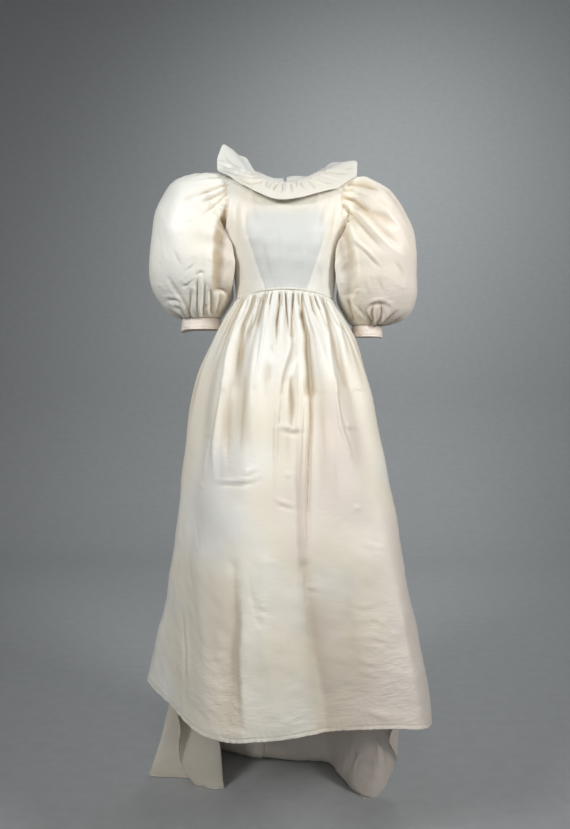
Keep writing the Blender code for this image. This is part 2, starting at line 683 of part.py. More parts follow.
def sleeve_point(turn, along, side, wave):
    """A point of a puffed sleeve: turn round it from the top, share of the way to the cuff."""
    sign = -1.0 if side == "left" else 1.0
    table = SLEEVE_TABLES[side]
    row = {key: smooth_at(table["along"], table[key], max(table["along"][0], along))
           for key in SLEEVE_COLUMNS[1:]}
    lean = math.radians(turn)
    outer = Vector((row["outer_x"], row["mid_y"], row["outer_z"]))
    inner = Vector((row["inner_x"], row["mid_y"], row["inner_z"]))
    middle = (outer + inner) / 2
    ring = middle + (outer - inner) / 2 * math.cos(lean)
    ring += Vector((0.0, row["depth"] * math.sin(lean), 0.0))
    over = math.exp(-(((turn - SWELL_TURN) / SWELL_SPREAD) ** 2))
    ring.x -= row["swell"] * over
    ring.x *= sign
    start = armhole_point(turn, sign)
    start.x += sign * SLEEVE_STANDOFF
    point = start.lerp(ring, ease(along, 0.0, table["along"][0] * 1.5)) if along < 0.15 else ring
    out = (ring - Vector((middle.x * sign, middle.y, middle.z))).normalized()
    head = SLEEVE_HEAD_DEPTH * (0.25 + 0.75 * ease(along, 0.0, 0.05))
    head *= (1.0 - ease(along, 0.10, 0.36)) * (0.25 + 0.75 * (0.5 + 0.5 * math.cos(lean)))
    foot = SLEEVE_CUFF_DEPTH * ease(along, 0.68, 0.93) * (1.0 - 0.6 * ease(along, 0.93, 1.0))
    depth = (head + foot) * wave
    for fold in SLEEVE_FOLDS[side]:
        fold = dict(zip(SLEEVE_FOLD_COLUMNS, fold))
        apart = signed_turn(turn - fold["turn"]) / fold["spread"]
        middle_along = (fold["start"] + fold["end"]) / 2
        depth += (fold["depth"] * math.exp(-apart * apart)
                  * hump(along, fold["start"], middle_along, fold["end"]))
    return point + out * depth


def build_sleeves(collection):
    columns = SLEEVE_GATHERS * 2
    for side in ("left", "right"):
        points = []
        for column in range(columns):
            turn = column * 360.0 / columns
            wave = 1.0 if column % 2 else -1.0
            for along in SLEEVE_ROWS:
                points.append(sleeve_point(turn, along, side, wave))
        faces = grid_faces(columns, len(SLEEVE_ROWS), closed=True, flip=side == "right")
        add_object(f"sleeve_{side}", points, faces, TAFFETA, collection, WALL)


def build_cuffs(collection):
    """A plain band round each sleeve end, hanging a little wider at its lower edge."""
    for side in ("left", "right"):
        table = SLEEVE_TABLES[side]
        sign = -1.0 if side == "left" else 1.0
        middle_x = (table["outer_x"][-1] + table["inner_x"][-1]) / 2 * sign
        half_x = (table["outer_x"][-1] - table["inner_x"][-1]) / 2
        half_y = table["depth"][-1]
        top_z = table["outer_z"][-1] - WALL / 2 - LAY_GAP
        points = []
        for column in range(CUFF_COLUMNS):
            lean = math.radians(column * 360.0 / CUFF_COLUMNS)
            for level, flare in CUFF_LEVELS:
                points.append(Vector((middle_x + half_x * flare * math.sin(lean),
                                      table["mid_y"][-1] - half_y * flare * math.cos(lean),
                                      top_z - CUFF_HEIGHT * level)))
        faces = grid_faces(CUFF_COLUMNS, len(CUFF_LEVELS), closed=True, flip=True)
        add_object(f"cuff_{side}", points, faces, TAFFETA, collection, CUFF_WALL)


def ruffle_point(turn, out, wave):
    """A point of the neck ruffle: turn round the neck, share of the way to its outer edge."""
    root = neck_point(turn)
    away = Vector((root.x, root.y - SHOULDER_Y, 0.0)).normalized()
    root = root + Vector((0.0, 0.0, WALL + RUFFLE_ROOT)) + away * 0.0006
    edge = Vector([smooth_at(RUFFLE_TABLE["turn"], RUFFLE_TABLE[key], turn)
                   for key in RUFFLE_COLUMNS[1:]])
    point = root.lerp(edge, out)
    rise = Vector((0.0, 0.0, RUFFLE_LIFT)) + away * RUFFLE_LIFT * 0.5
    point += rise * (4.0 * out * (1.0 - out)) ** 0.7 if 0.0 < out < 1.0 else Vector()
    along = (edge - root).normalized()
    across = Vector((-away.y, away.x, 0.0))
    normal = along.cross(across).normalized()
    depth = RUFFLE_GATHER_DEPTH * wave * (1.0 - 0.55 * out)
    broad = math.sin(math.radians(turn) * RUFFLE_WAVES + 0.9 * math.sin(math.radians(turn) * 3.0))
    depth += RUFFLE_WAVE_DEPTH * broad * ease(out, 0.1, 1.0)
    return point + normal * depth


def build_ruffle(collection):
    columns = RUFFLE_GATHERS * 2 + 1
    end = RUFFLE_TABLE["turn"][-1]
    points = []
    for column in range(columns):
        turn = -end + 2.0 * end * column / (columns - 1)
        wave = 1.0 if column % 2 else -1.0
        if column in (0, columns - 1):
            wave = 0.0
        for out in RUFFLE_ROWS:
            points.append(ruffle_point(turn, out, wave))
    add_object("neck_ruffle", points, grid_faces(columns, len(RUFFLE_ROWS), flip=True), TAFFETA,
               collection, WALL)


def back_points():
    """Centre back of the dress from the neck down, point by point as its panels are faceted."""
    bodice = bodice_column(0.0, False)[::-1]
    skirt = [skirt_point(180.0, share, 0.0) for share in FINE_DROPS[1:] + COARSE_DROPS[:2]]
    return bodice + skirt


def back_line(z):
    return along_line(back_points(), 2, z)


def build_zip_tape(collection):
    """The zip's tape and closed coil, inside the centre back."""
    inset = WALL / 2 + TAPE_WALL / 2 + TAPE_CLEAR
    foot_z = WAIST_Z_BACK - ZIP_BELOW_WAIST
    levels = [point.z for point in back_points() if foot_z + 0.004 < point.z < ZIP_TAPE_TOP_Z - 0.004]
    levels = [ZIP_TAPE_TOP_Z] + levels + [foot_z]
    points = []
    for side in (-1.0, 0.0, 1.0):
        for z in levels:
            points.append(Vector((side * TAPE_WIDTH / 2, back_line(z).y - inset, z)))
    add_object("zip_tape", points, grid_faces(3, len(levels)), NYLON, collection, TAPE_WALL)


def box_mesh(target, size, centre, matrix):
    made = bmesh.ops.create_cube(target, size=1.0)
    scale = Matrix.Diagonal((*size, 1.0))
    bmesh.ops.transform(target, matrix=matrix @ Matrix.Translation(centre) @ scale,
                        verts=made["verts"])


def shape_boxes(name, boxes, look, collection, placing):
    """One solid out of boxes: each after the first is joined on or cut away."""
    pieces = []
    for index, (action, size, centre) in enumerate(boxes):
        bm = bmesh.new()
        box_mesh(bm, size, centre, placing)
        mesh = bpy.data.meshes.new(f"{name}_{index}")
        bm.to_mesh(mesh)
        bm.free()
        piece = bpy.data.objects.new(f"{name}_{index}", mesh)
        bpy.context.scene.collection.objects.link(piece)
        pieces.append(piece)
        if index:
            change = pieces[0].modifiers.new("shape", "BOOLEAN")
            change.operation = action
            change.object = piece
    bpy.context.view_layer.update()
    evaluated = pieces[0].evaluated_get(bpy.context.evaluated_depsgraph_get())
    mesh = bpy.data.meshes.new_from_object(evaluated)
    for piece in pieces:
        bpy.data.objects.remove(piece, do_unlink=True)
    mesh.name = name
    mesh.materials.clear()
    mesh.materials.append(new_material(name, look))
    item = bpy.data.objects.new(name, mesh)
    collection.objects.link(item)
    return item


def zip_frame():
    """Local frame of the slider: origin on the cloth, Y outwards, Z up along the zip."""
    here = back_line(ZIP_TOP_Z)
    up = (back_line(ZIP_TOP_Z + 0.006) - back_line(ZIP_TOP_Z - 0.006)).normalized()
    across = Vector((1.0, 0.0, 0.0))
    out = up.cross(across).normalized()
    turned = Matrix((across, out, up)).transposed().to_4x4()
    return Matrix.Translation(here) @ turned


def build_slider(collection):
    """Zip slider with an arch on its face, and the pull tab that hangs in the arch."""
    placing = zip_frame()
    face = WALL / 2 + LAY_GAP
    middle = face + SLIDER_DEPTH / 2
    top = face + SLIDER_DEPTH
    boxes = [
        ("", (SLIDER_WIDTH, SLIDER_DEPTH, SLIDER_LENGTH), (0.0, middle, 0.0)),
        ("UNION", (ARCH_WIDTH, ARCH_RISE + ARCH_BAR, ARCH_SPAN),
         (0.0, top + (ARCH_RISE - ARCH_BAR) / 2, 0.0)),
        ("DIFFERENCE", (ARCH_WIDTH * 2, ARCH_RISE - ARCH_BAR, ARCH_SPAN - 2 * ARCH_BAR),
         (0.0, top + (ARCH_RISE - ARCH_BAR) / 2, 0.0)),
    ]
    shape_boxes("zip_slider", boxes, ENAMELLED_ZINC, collection, placing)

    leg_foot = -ARCH_SPAN / 2 + ARCH_BAR
    pivot = Vector((0.0, top + (ARCH_RISE - ARCH_BAR) / 2, leg_foot + TAB_BAR))
    eye = ARCH_BAR + TAB_BAR + TAB_EYE_PLAY
    boxes = [
        ("", (TAB_WIDTH, TAB_BAR, TAB_LENGTH), (0.0, 0.0, (TAB_BAR - TAB_LENGTH) / 2)),
        ("DIFFERENCE", (TAB_EYE_WIDTH, TAB_BAR * 3, eye), (0.0, 0.0, -(TAB_BAR + eye) / 2)),
    ]
    tab = shape_boxes("zip_pull", boxes, ENAMELLED_ZINC, collection,
                      placing @ Matrix.Translation(pivot))
    origin = placing @ pivot
    tab.data.transform(Matrix.Translation(-origin))
    tab.location = origin


def build_loop(collection):
    """A loop of cord sewn to the hem, for hooking the train up."""
    hem = skirt_point(LOOP_TURN, 1.0, 0.0)
    centre = hem + Vector((0.0, -(LOOP_LENGTH / 2 + LOOP_CORD / 2 + WALL + 2 * LAY_GAP), 0.0))
    curve = bpy.data.curves.new("train_loop", "CURVE")
    curve.dimensions = "3D"
    curve.bevel_depth = LOOP_CORD / 2
    curve.bevel_resolution = 1
    spline = curve.splines.new("POLY")
    spline.points.add(LOOP_POINTS - 1)
    for index, point in enumerate(spline.points):
        lean = 2.0 * math.pi * index / LOOP_POINTS
        point.co = (centre.x + LOOP_HALF_WIDTH * math.sin(lean),
                    centre.y - LOOP_LENGTH / 2 * math.cos(lean), centre.z, 1.0)
    spline.use_cyclic_u = True
    curve.materials.append(new_material("train_loop", TAFFETA))
    item = bpy.data.objects.new("train_loop", curve)
    collection.objects.link(item)


def main():
    clear_scene()
    collection = bpy.data.collections.new(COLLECTION)
    bpy.context.scene.collection.children.link(collection)
    build_bodice(collection)
    build_darts(collection)
    build_sleeves(collection)
    build_cuffs(collection)
    build_ruffle(collection)
    build_skirt(collection)
    build_zip_tape(collection)
    build_slider(collection)
    build_loop(collection)


main()
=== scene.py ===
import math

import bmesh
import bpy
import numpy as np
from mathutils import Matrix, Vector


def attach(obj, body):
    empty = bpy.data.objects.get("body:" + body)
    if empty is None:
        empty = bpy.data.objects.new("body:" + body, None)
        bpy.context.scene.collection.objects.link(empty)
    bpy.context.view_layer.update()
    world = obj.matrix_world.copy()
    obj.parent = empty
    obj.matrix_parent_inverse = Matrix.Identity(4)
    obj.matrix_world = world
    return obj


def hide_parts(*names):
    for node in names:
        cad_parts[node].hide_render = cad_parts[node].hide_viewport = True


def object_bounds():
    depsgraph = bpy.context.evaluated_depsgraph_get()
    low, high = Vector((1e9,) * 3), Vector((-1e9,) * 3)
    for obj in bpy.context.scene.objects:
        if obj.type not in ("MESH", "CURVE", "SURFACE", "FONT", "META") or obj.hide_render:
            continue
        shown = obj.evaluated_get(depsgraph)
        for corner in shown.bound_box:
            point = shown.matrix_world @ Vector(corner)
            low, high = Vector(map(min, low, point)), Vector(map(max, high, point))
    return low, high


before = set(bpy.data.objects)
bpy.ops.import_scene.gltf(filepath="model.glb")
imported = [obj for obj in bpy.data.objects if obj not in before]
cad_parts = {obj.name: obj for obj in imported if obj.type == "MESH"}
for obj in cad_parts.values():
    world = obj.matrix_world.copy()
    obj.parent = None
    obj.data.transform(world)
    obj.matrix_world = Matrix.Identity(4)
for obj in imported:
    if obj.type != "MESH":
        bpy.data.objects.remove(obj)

# Worn wedding dress in ivory silk taffeta: ruffled neck, darted bodice, puffed sleeves in plain
# cuffs, and a gathered skirt, high in front and running down to a train behind.
# The cloth is built as thin shells on the forms of the dress, with its gathers, folds and creases.
# Metres, +Z up, the front faces -Y, and the origin is midway between the shoulder seams.

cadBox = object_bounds()
body = "dress"
floorZ = -1.468
clothWall = 0.0006


# curves, noise and small helpers

def ease(value, low, high):
    part = np.clip((value - low) / (high - low), 0.0, 1.0)
    return part * part * (3.0 - 2.0 * part)


def bell(value, width):
    return np.exp(-(value / width) ** 2)


def humpOver(value, start, peak, end):
    return np.where(value <= peak, ease(value, start, peak), 1.0 - ease(value, peak, end))


def smoothAt(keys, values, at):
    # a smooth curve through a short table
    keys = np.asarray(keys, float)
    values = np.asarray(values, float)
    if keys[0] > keys[-1]:
        keys, values = keys[::-1], values[::-1]
    at = np.clip(np.asarray(at, float), keys[0], keys[-1])
    place = np.clip(np.searchsorted(keys, at) - 1, 0, len(keys) - 2)
    slope = np.empty(len(keys))
    slope[1:-1] = (values[2:] - values[:-2]) / (keys[2:] - keys[:-2])
    slope[0] = (values[1] - values[0]) / (keys[1] - keys[0])
    slope[-1] = (values[-1] - values[-2]) / (keys[-1] - keys[-2])
    span = keys[place + 1] - keys[place]
    part = (at - keys[place]) / span
    square, cube = part * part, part * part * part
    return ((2 * cube - 3 * square + 1) * values[place] + (cube - 2 * square + part) * span * slope[place]
            + (3 * square - 2 * cube) * values[place + 1] + (cube - square) * span * slope[place + 1])


def columnsOf(rows, names):
    # a table's columns by name; the first is as it stands, the others are in mm
    return {name: np.array([row[index] for row in rows], float) * (0.001 if index else 1.0)
            for index, name in enumerate(names)}


def signedTurn(turn):
    return (np.asarray(turn, float) + 180.0) % 360.0 - 180.0


def spot(x, y, z):
    return np.stack(np.broadcast_arrays(x, y, z), -1).astype(float)


def unit(vectors):
    return vectors / np.maximum(np.linalg.norm(vectors, axis=-1, keepdims=True), 1e-12)


def levelUnit(vectors):
    # the same directions, laid level
    return unit(vectors * np.array([1.0, 1.0, 0.0]))


def gridOf(columns, rows):
    return np.meshgrid(columns, rows, indexing="ij")


def inScene(name, data):
    thing = bpy.data.objects.new(name, data)
    bpy.context.scene.collection.objects.link(thing)
    return thing


def outwardOf(points, closed=False):
    # outward direction at each point of a grid of columns by rows
    if closed:
        wrapped = np.concatenate([points[-1:], points, points[:1]])
        across = (wrapped[2:] - wrapped[:-2])
    else:
        across = np.gradient(points, axis=0)
    down = np.gradient(points, axis=1)
    return unit(np.cross(across, down))


def undulation(u, v, waves, seed):
    # soft unevenness between -1 and 1, with waves as (shortest, longest) length in metres
    chance = np.random.RandomState(seed)
    total = 0.0
    count = 9
    for _ in range(count):
        length = math.exp(chance.uniform(math.log(waves[0]), math.log(waves[1])))
        angle = chance.uniform(0.0, math.pi)
        phase = chance.uniform(0.0, 2.0 * math.pi)
        total = total + np.sin(2.0 * math.pi * (u * math.cos(angle) + v * math.sin(angle)) / length + phase)
    return total / math.sqrt(count)


def gridPlace(points, columnKeys, rowKeys, column, row):
    # a point of the grid, by its place in the keys of columns and rows
    i = np.interp(column, columnKeys, np.arange(len(columnKeys)))
    j = np.interp(row, rowKeys, np.arange(len(rowKeys)))
    i0 = np.minimum(np.floor(i).astype(int), len(columnKeys) - 2)
    j0 = np.minimum(np.floor(j).astype(int), len(rowKeys) - 2)
    a, b = (i - i0)[..., None], (j - j0)[..., None]
    return (points[i0, j0] * (1 - a) * (1 - b) + points[i0 + 1, j0] * a * (1 - b)
            + points[i0, j0 + 1] * (1 - a) * b + points[i0 + 1, j0 + 1] * a * b)


def creaseLift(points, columnKeys, rowKeys, creases):
    # each crease: from column, row to column, row; bow in mm; half width in mm; height in mm
    # (minus is a trough); sharpness, where 1 is a pressed line and 2 a soft one
    lift = np.zeros(points.shape[:2])
    steps = np.linspace(0.0, 1.0, 15)
    for fromColumn, fromRow, toColumn, toRow, bow, width, height, sharpness in creases:
        column = fromColumn + (toColumn - fromColumn) * steps
        row = fromRow + (toRow - fromRow) * steps
        path = gridPlace(points, columnKeys, rowKeys, column, row)
        along = unit(path[-1] - path[0])
        side = unit(np.cross(along, levelUnit(np.mean(path, 0))))
        path = path + side * (bow * 0.001 * 4.0 * steps * (1.0 - steps))[:, None]
        reach = 3.2 * width * 0.001
        near = np.all((points > path.min(0) - reach) & (points < path.max(0) + reach), -1)
        if not near.any():
            continue
        here = points[near]
        apart = np.linalg.norm(here[:, None, :] - path[None, :, :], axis=-1)
        closest = apart.argmin(1)
        distance = apart[np.arange(len(here)), closest]
        start = path[np.maximum(closest - 1, 0)]
        end = path[np.minimum(closest + 1, len(path) - 1)]
        line = unit(end - start)
        offset = here - path[closest]
        distance = np.minimum(distance, np.linalg.norm(offset - line * np.sum(offset * line, -1, keepdims=True),
                                                       axis=-1) + 0.35 * np.maximum(distance - 0.004, 0.0))
        taper = np.sin(math.pi * np.clip(steps[closest], 0.04, 0.96)) ** 0.6
        lift[near] += height * 0.001 * taper * np.exp(-(distance / (width * 0.001)) ** sharpness)
    return lift


def alongPath(points, path):
    # distance from a front-view path, the side of it, and the share of its length reached
    keys = np.concatenate([[0.0], np.cumsum(np.linalg.norm(np.diff(path, axis=0), axis=1))])
    at = np.linspace(0.0, keys[-1], 5 * len(path))
    path = np.stack([smoothAt(keys, path[:, 0], at), smoothAt(keys, path[:, 1], at)], -1)
    best = np.full(len(points), 1e9)
    side, share, past = np.zeros(len(points)), np.zeros(len(points)), np.zeros(len(points))
    for n in range(len(path) - 1):
        start, step = path[n], path[n + 1] - path[n]
        length = math.hypot(*step)
        part = ((points - start) @ step) / length ** 2
        offset = points - (start + np.clip(part, 0.0, 1.0)[:, None] * step)
        distance = np.hypot(offset[:, 0], offset[:, 1])
        closer = distance < best
        best[closer] = distance[closer]
        side[closer] = np.sign(step[0] * offset[closer, 1] - step[1] * offset[closer, 0])
        share[closer] = (n + np.clip(part, 0.0, 1.0)[closer]) / (len(path) - 1)
        over = np.maximum(np.maximum(-part, part - 1.0), 0.0) * length
        past[closer] = over[closer] if n in (0, len(path) - 2) else 0.0
    return best, side, share, past


def alike(look, rows):
    # rows of creases with the same widths and strengths: here each has only its height and its path
    return [(row[0], *look, *row[1:]) for row in rows]


def nearPath(flat, path, reach):
    # which points are near a path, given as across, up, across, up and so on, and alongPath of those
    path = np.array(path, float).reshape(-1, 2)
    near = np.all((flat > path.min(0) - reach) & (flat < path.max(0) + reach), -1)
    return near, *alongPath(flat[near], path)


def leftAt(share, start, end, startRun, endRun):
    # strength along a path, with what is left of it at its start and end
    return ((start + (1.0 - start) * ease(share, 0.0, startRun))
            * (end + (1.0 - end) * ease(1.0 - share, 0.0, endRun)))


def tracedLift(points, creases, finest=1.6, ridge=1.0):
    # creases as they lie in the front view: height in mm (minus is a trough), half width at start
    # and end, strength left at start and end, and then the path, in mm across, up, across, up and
    # so on; ridge scales ridges
    flat = points[..., (0, 2)] * 1000.0
    lift = np.zeros(points.shape[:2])
    for height, startWidth, endWidth, startLeft, endLeft, *path in creases:
        near, distance, _, share, _ = nearPath(flat, path, 3.0 * max(startWidth, endWidth))
        width = np.maximum(startWidth + (endWidth - startWidth) * share, finest)
        curve = np.exp(-(distance / width) ** (1.35 if height < 0 else 1.6))
        left = leftAt(share, startLeft, endLeft, 0.4, 0.45)
        lift[near] += height * (ridge if height > 0 else 1.0) * left * curve
    return lift * 0.001


def tracedSink(points, steps):
    # a fold's overlap in the front view: depth in mm that the cloth past the line lies back (minus:
    # on its left), width of the wall, reach, strength left at start and end, and the path in mm
    flat = points[..., (0, 2)] * 1000.0
    sink = np.zeros(points.shape[:2])
    # wallMark: where each fold's wall stands, for the painted shade on it
    wallMark = np.zeros(points.shape[:2])
    for depth, wall, reach, startLeft, endLeft, *path in steps:
        near, distance, side, share, past = nearPath(flat, path, reach)
        distance = distance * side * math.copysign(1.0, depth)
        distance = distance + 1.3 * undulation(flat[near][:, 0], flat[near][:, 1], (14.0, 70.0), 7)
        sunk = ease(distance, 0.0, wall) * (1.0 - ease(distance, wall, reach))
        rim = 0.12 * bell(distance + 2.0, 3.5)
        left = leftAt(share, startLeft, endLeft, 0.3, 0.3) * bell(past, 7.0)
        sink[near] += (sunk - rim) * abs(depth) * left
        wallMark[near] += left * ease(distance, 0.0, 0.4 * wall) * (1.0 - ease(distance, 0.6 * wall, 1.6 * wall))
    return sink * 0.001, wallMark


def zonesOf(rows):
    # each zone: its columns and rows, slant in degrees, count, length, half width and height in mm, seed
    names = ("columns", "rows", "slant", "count", "length", "width", "height", "seed")
    return [dict(zip(names, row)) for row in rows]


def scatteredCreases(zone):
    # short creases strewn over a zone, uneven in length, depth and spacing, from a fixed seed
    chance = np.random.RandomState(zone["seed"])
    rows = []
    for _ in range(zone["count"]):
        column = chance.uniform(*zone["columns"])
        row = chance.uniform(*zone["rows"])
        slant = math.radians(chance.uniform(*zone["slant"]))
        length = chance.uniform(*zone["length"]) * 0.001 * chance.uniform(0.5, 1.0)
        across = length * math.cos(slant) / zone["metresAColumn"]
        down = length * math.sin(slant) / zone["metresARow"]
        height = chance.uniform(*zone["height"]) * chance.choice([1.0, -1.0])
        rows.append((column, row, column + across, row + down, chance.uniform(-3.0, 3.0),
                     chance.uniform(*zone["width"]), height, chance.uniform(1.3, 2.0)))
    return rows


# materials

def linearColour(hexColour, alpha=1.0):
    channels = [int(hexColour[place:place + 2], 16) / 255.0 for place in (1, 3, 5)]
    return tuple(c / 12.92 if c <= 0.04045 else ((c + 0.055) / 1.055) ** 2.4 for c in channels) + (alpha,)


def addNode(tree, kind, settings=None, links=None, stops=()):
    # a node, its settings, its inputs, each a value or the socket that feeds it, and a ramp's stops
    node = tree.nodes.new(kind)
    for key, value in (settings or {}).items():
        setattr(node, key, value)
    for _ in stops[2:]:
        node.color_ramp.elements.new(0.5)
    for point, (place, colour) in zip(node.color_ramp.elements if stops else (), stops):
        point.position, point.color = place, colour
    for key, value in (links or {}).items():
        socket = node.inputs[key]
        if isinstance(value, bpy.types.NodeSocket):
            tree.links.new(value, socket)
        else:
            socket.default_value = value
    return node


def newMaterial(name):
    material = bpy.data.materials.new(name)
    material.use_nodes = True
    material.node_tree.nodes.clear()
    return material, material.node_tree


def stretchedNoise(tree, place, repeats, detail, roughness=0.5, distortion=0.0):
    # noise with its own number of repeats a metre each way
    stretch = addNode(tree, "ShaderNodeVectorMath", {"operation": "MULTIPLY"}, {0: place, 1: repeats})
    return addNode(tree, "ShaderNodeTexNoise", None, {
        "Vector": stretch.outputs[0], "Scale": 1.0, "Detail": detail, "Roughness": roughness,
        "Distortion": distortion}).outputs[0]


def silkTaffeta(name, look):
    # Silk taffeta, plain woven and stiff: ivory with a soft sheen, thin weft slubs across, and
    # a crackle of small creases where it has been handled. The cloth's own UV map is in metres.
    material, tree = newMaterial(name)
    cloth = addNode(tree, "ShaderNodeUVMap", {"uv_map": "cloth"}).outputs[0]
    place = addNode(tree, "ShaderNodeTexCoord").outputs["Object"]
    marks = {mark: addNode(tree, "ShaderNodeAttribute", {"attribute_name": mark}).outputs["Fac"]
             for mark in ("crumple", "gathered", "paintedGreyShade", "paintedDoubledLight", "shade", "paintedCreaseShade")}

    # threads are 0.25 mm apart, too fine to show, so the weave is drawn at 1.2 mm
    slub = stretchedNoise(tree, cloth, (24.0, 820.0, 1.0), 2.0, 0.6)
    rib = stretchedNoise(tree, cloth, (820.0, 30.0, 1.0), 1.0)

    # small creases, about 40 by 12 mm, sharp at their tops, with finer ones among them
    across, down = look["creaseAcross"], look["creaseDown"]
    crackle = stretchedNoise(tree, cloth, (across, down, 1.0), 1.2, 0.45, 0.5)
    centred = addNode(tree, "ShaderNodeMath", {"operation": "SUBTRACT"}, {0: crackle, 1: 0.5})
    folded = addNode(tree, "ShaderNodeMath", {"operation": "ABSOLUTE"}, {0: centred.outputs[0]})
    finer = stretchedNoise(tree, cloth, (1.9 * across, 2.1 * down, 1.0), 2.5, 0.5, 0.6)
    ridged = addNode(tree, "ShaderNodeMath", {"operation": "MULTIPLY_ADD"}, {0: finer, 1: 0.30, 2: folded.outputs[0]})
    crackled = addNode(tree, "ShaderNodeMath", {"operation": "MULTIPLY"}, {0: ridged.outputs[0], 1: marks["crumple"]})

    # fine gathers along the cloth, about 16 mm apart as it was cut, drawn where it is gathered
    pleats = stretchedNoise(tree, cloth, (look["gatherAcross"], look["gatherDown"], 1.0), 2.0, 0.62, 0.15)
    pleated = addNode(tree, "ShaderNodeMath", {"operation": "MULTIPLY"}, {0: pleats, 1: marks["gathered"]})

    # broad tints of ivory, blush and greenish grey: partly at random, partly painted light and reflection, greener on
    # the lit side (-x), rosier on the shaded side (+x) and lower down
    tint = addNode(tree, "ShaderNodeTexNoise", None, {"Vector": place, "Scale": 3.2, "Detail": 2.0, "Roughness": 0.5})
    apart = addNode(tree, "ShaderNodeSeparateXYZ", None, {0: place}).outputs
    paintedDownLean = addNode(tree, "ShaderNodeMath", {"operation": "MULTIPLY"}, {0: apart[2], 1: -0.16})
    paintedSideLean = addNode(tree, "ShaderNodeMath", {"operation": "MULTIPLY_ADD"},
                      {0: apart[0], 1: 0.55, 2: paintedDownLean.outputs[0]})
    tinted = addNode(tree, "ShaderNodeMath", {"operation": "ADD"}, {0: tint.outputs[0], 1: paintedSideLean.outputs[0]})
    colour = addNode(tree, "ShaderNodeValToRGB", None, {0: tinted.outputs[0]}, [
        (stop, linearColour(look[key]))
        for stop, key in ((0.32, "greenish"), (0.48, "ivory"), (0.60, "cream"), (0.74, "blush"))]).outputs[0]
    streak = addNode(tree, "ShaderNodeValToRGB", None, {0: slub}, [
        (0.35, (0.965, 0.96, 0.955, 1.0)), (0.65, (1.0, 1.0, 1.0, 1.0))])
    # painted crease shade: deep folds are painted tan, for the light there that has passed through the cloth
    shaded = addNode(tree, "ShaderNodeMath", {"operation": "MULTIPLY"}, {0: marks["paintedCreaseShade"], 1: look["paintedCreaseShadeTint"]})
    # marks of painted light and shade: grey where a single layer lets the shade inside show, lighter where the cloth is
    # doubled, rosier shade in bands, tan shade in creases
    for share, second, blend in (
            (1.0, streak.outputs[0], "MULTIPLY"), (marks["paintedGreyShade"], linearColour(look["paintedGreyShade"]), "MIX"),
            (marks["paintedDoubledLight"], linearColour(look["paintedDoubledLight"]), "MIX"),
            (marks["shade"], linearColour(look["shade"]), "MULTIPLY"),
            (shaded.outputs[0], linearColour(look["paintedCreaseShade"]), "MULTIPLY")):
        colour = addNode(tree, "ShaderNodeMix", {"data_type": "RGBA", "blend_type": blend},
                         {0: share, 6: colour, 7: second}).outputs[2]

    gloss = addNode(tree, "ShaderNodeMapRange", None, {0: slub, 1: 0.3, 2: 0.7, 3: look["roughness"] + 0.05,
                                                       4: look["roughness"] - 0.05})
    relief = None
    for strength, height, pattern in (
            (1.0, look["gatherHeight"], pleated.outputs[0]), (1.0, look["creaseHeight"], crackled.outputs[0]),
            (0.8, look["slubHeight"], slub), (0.5, 0.6 * look["slubHeight"], rib)):
        links = {"Strength": strength, "Distance": height * 0.001, "Height": pattern}
        if relief:
            links["Normal"] = relief
        relief = addNode(tree, "ShaderNodeBump", None, links).outputs[0]
    shader = addNode(tree, "ShaderNodeBsdfPrincipled", None, {
        "Base Color": colour, "Roughness": gloss.outputs[0], "IOR": 1.54, "Sheen Weight": look["sheen"],
        "Sheen Roughness": 0.35, "Specular IOR Level": 0.45, "Normal": relief})
    addNode(tree, "ShaderNodeOutputMaterial", None, {0: shader.outputs[0]})
    return material


taffetaLook = {
    "ivory": "#F5F3EC", "cream": "#F2EBDA", "blush": "#F0E6DC", "greenish": "#EBEEE7",
    # colours of painted shade and light: grey shade seen through one layer, lighter doubled cloth, tan shade in
    # creases, rosy shade
    "paintedGreyShade": "#CDD0CE", "paintedDoubledLight": "#F8F4E8", "paintedCreaseShade": "#C9B799", "paintedCreaseShadeTint": 0.74, "shade": "#D0C5C0",
    "roughness": 0.46, "sheen": 0.18, "creaseAcross": 24.0, "creaseDown": 80.0, "creaseHeight": 4.0,
    "slubHeight": 0.10, "gatherAcross": 62.0, "gatherDown": 5.0, "gatherHeight": 6.0,
}
taffeta = silkTaffeta("silk_taffeta", taffetaLook)


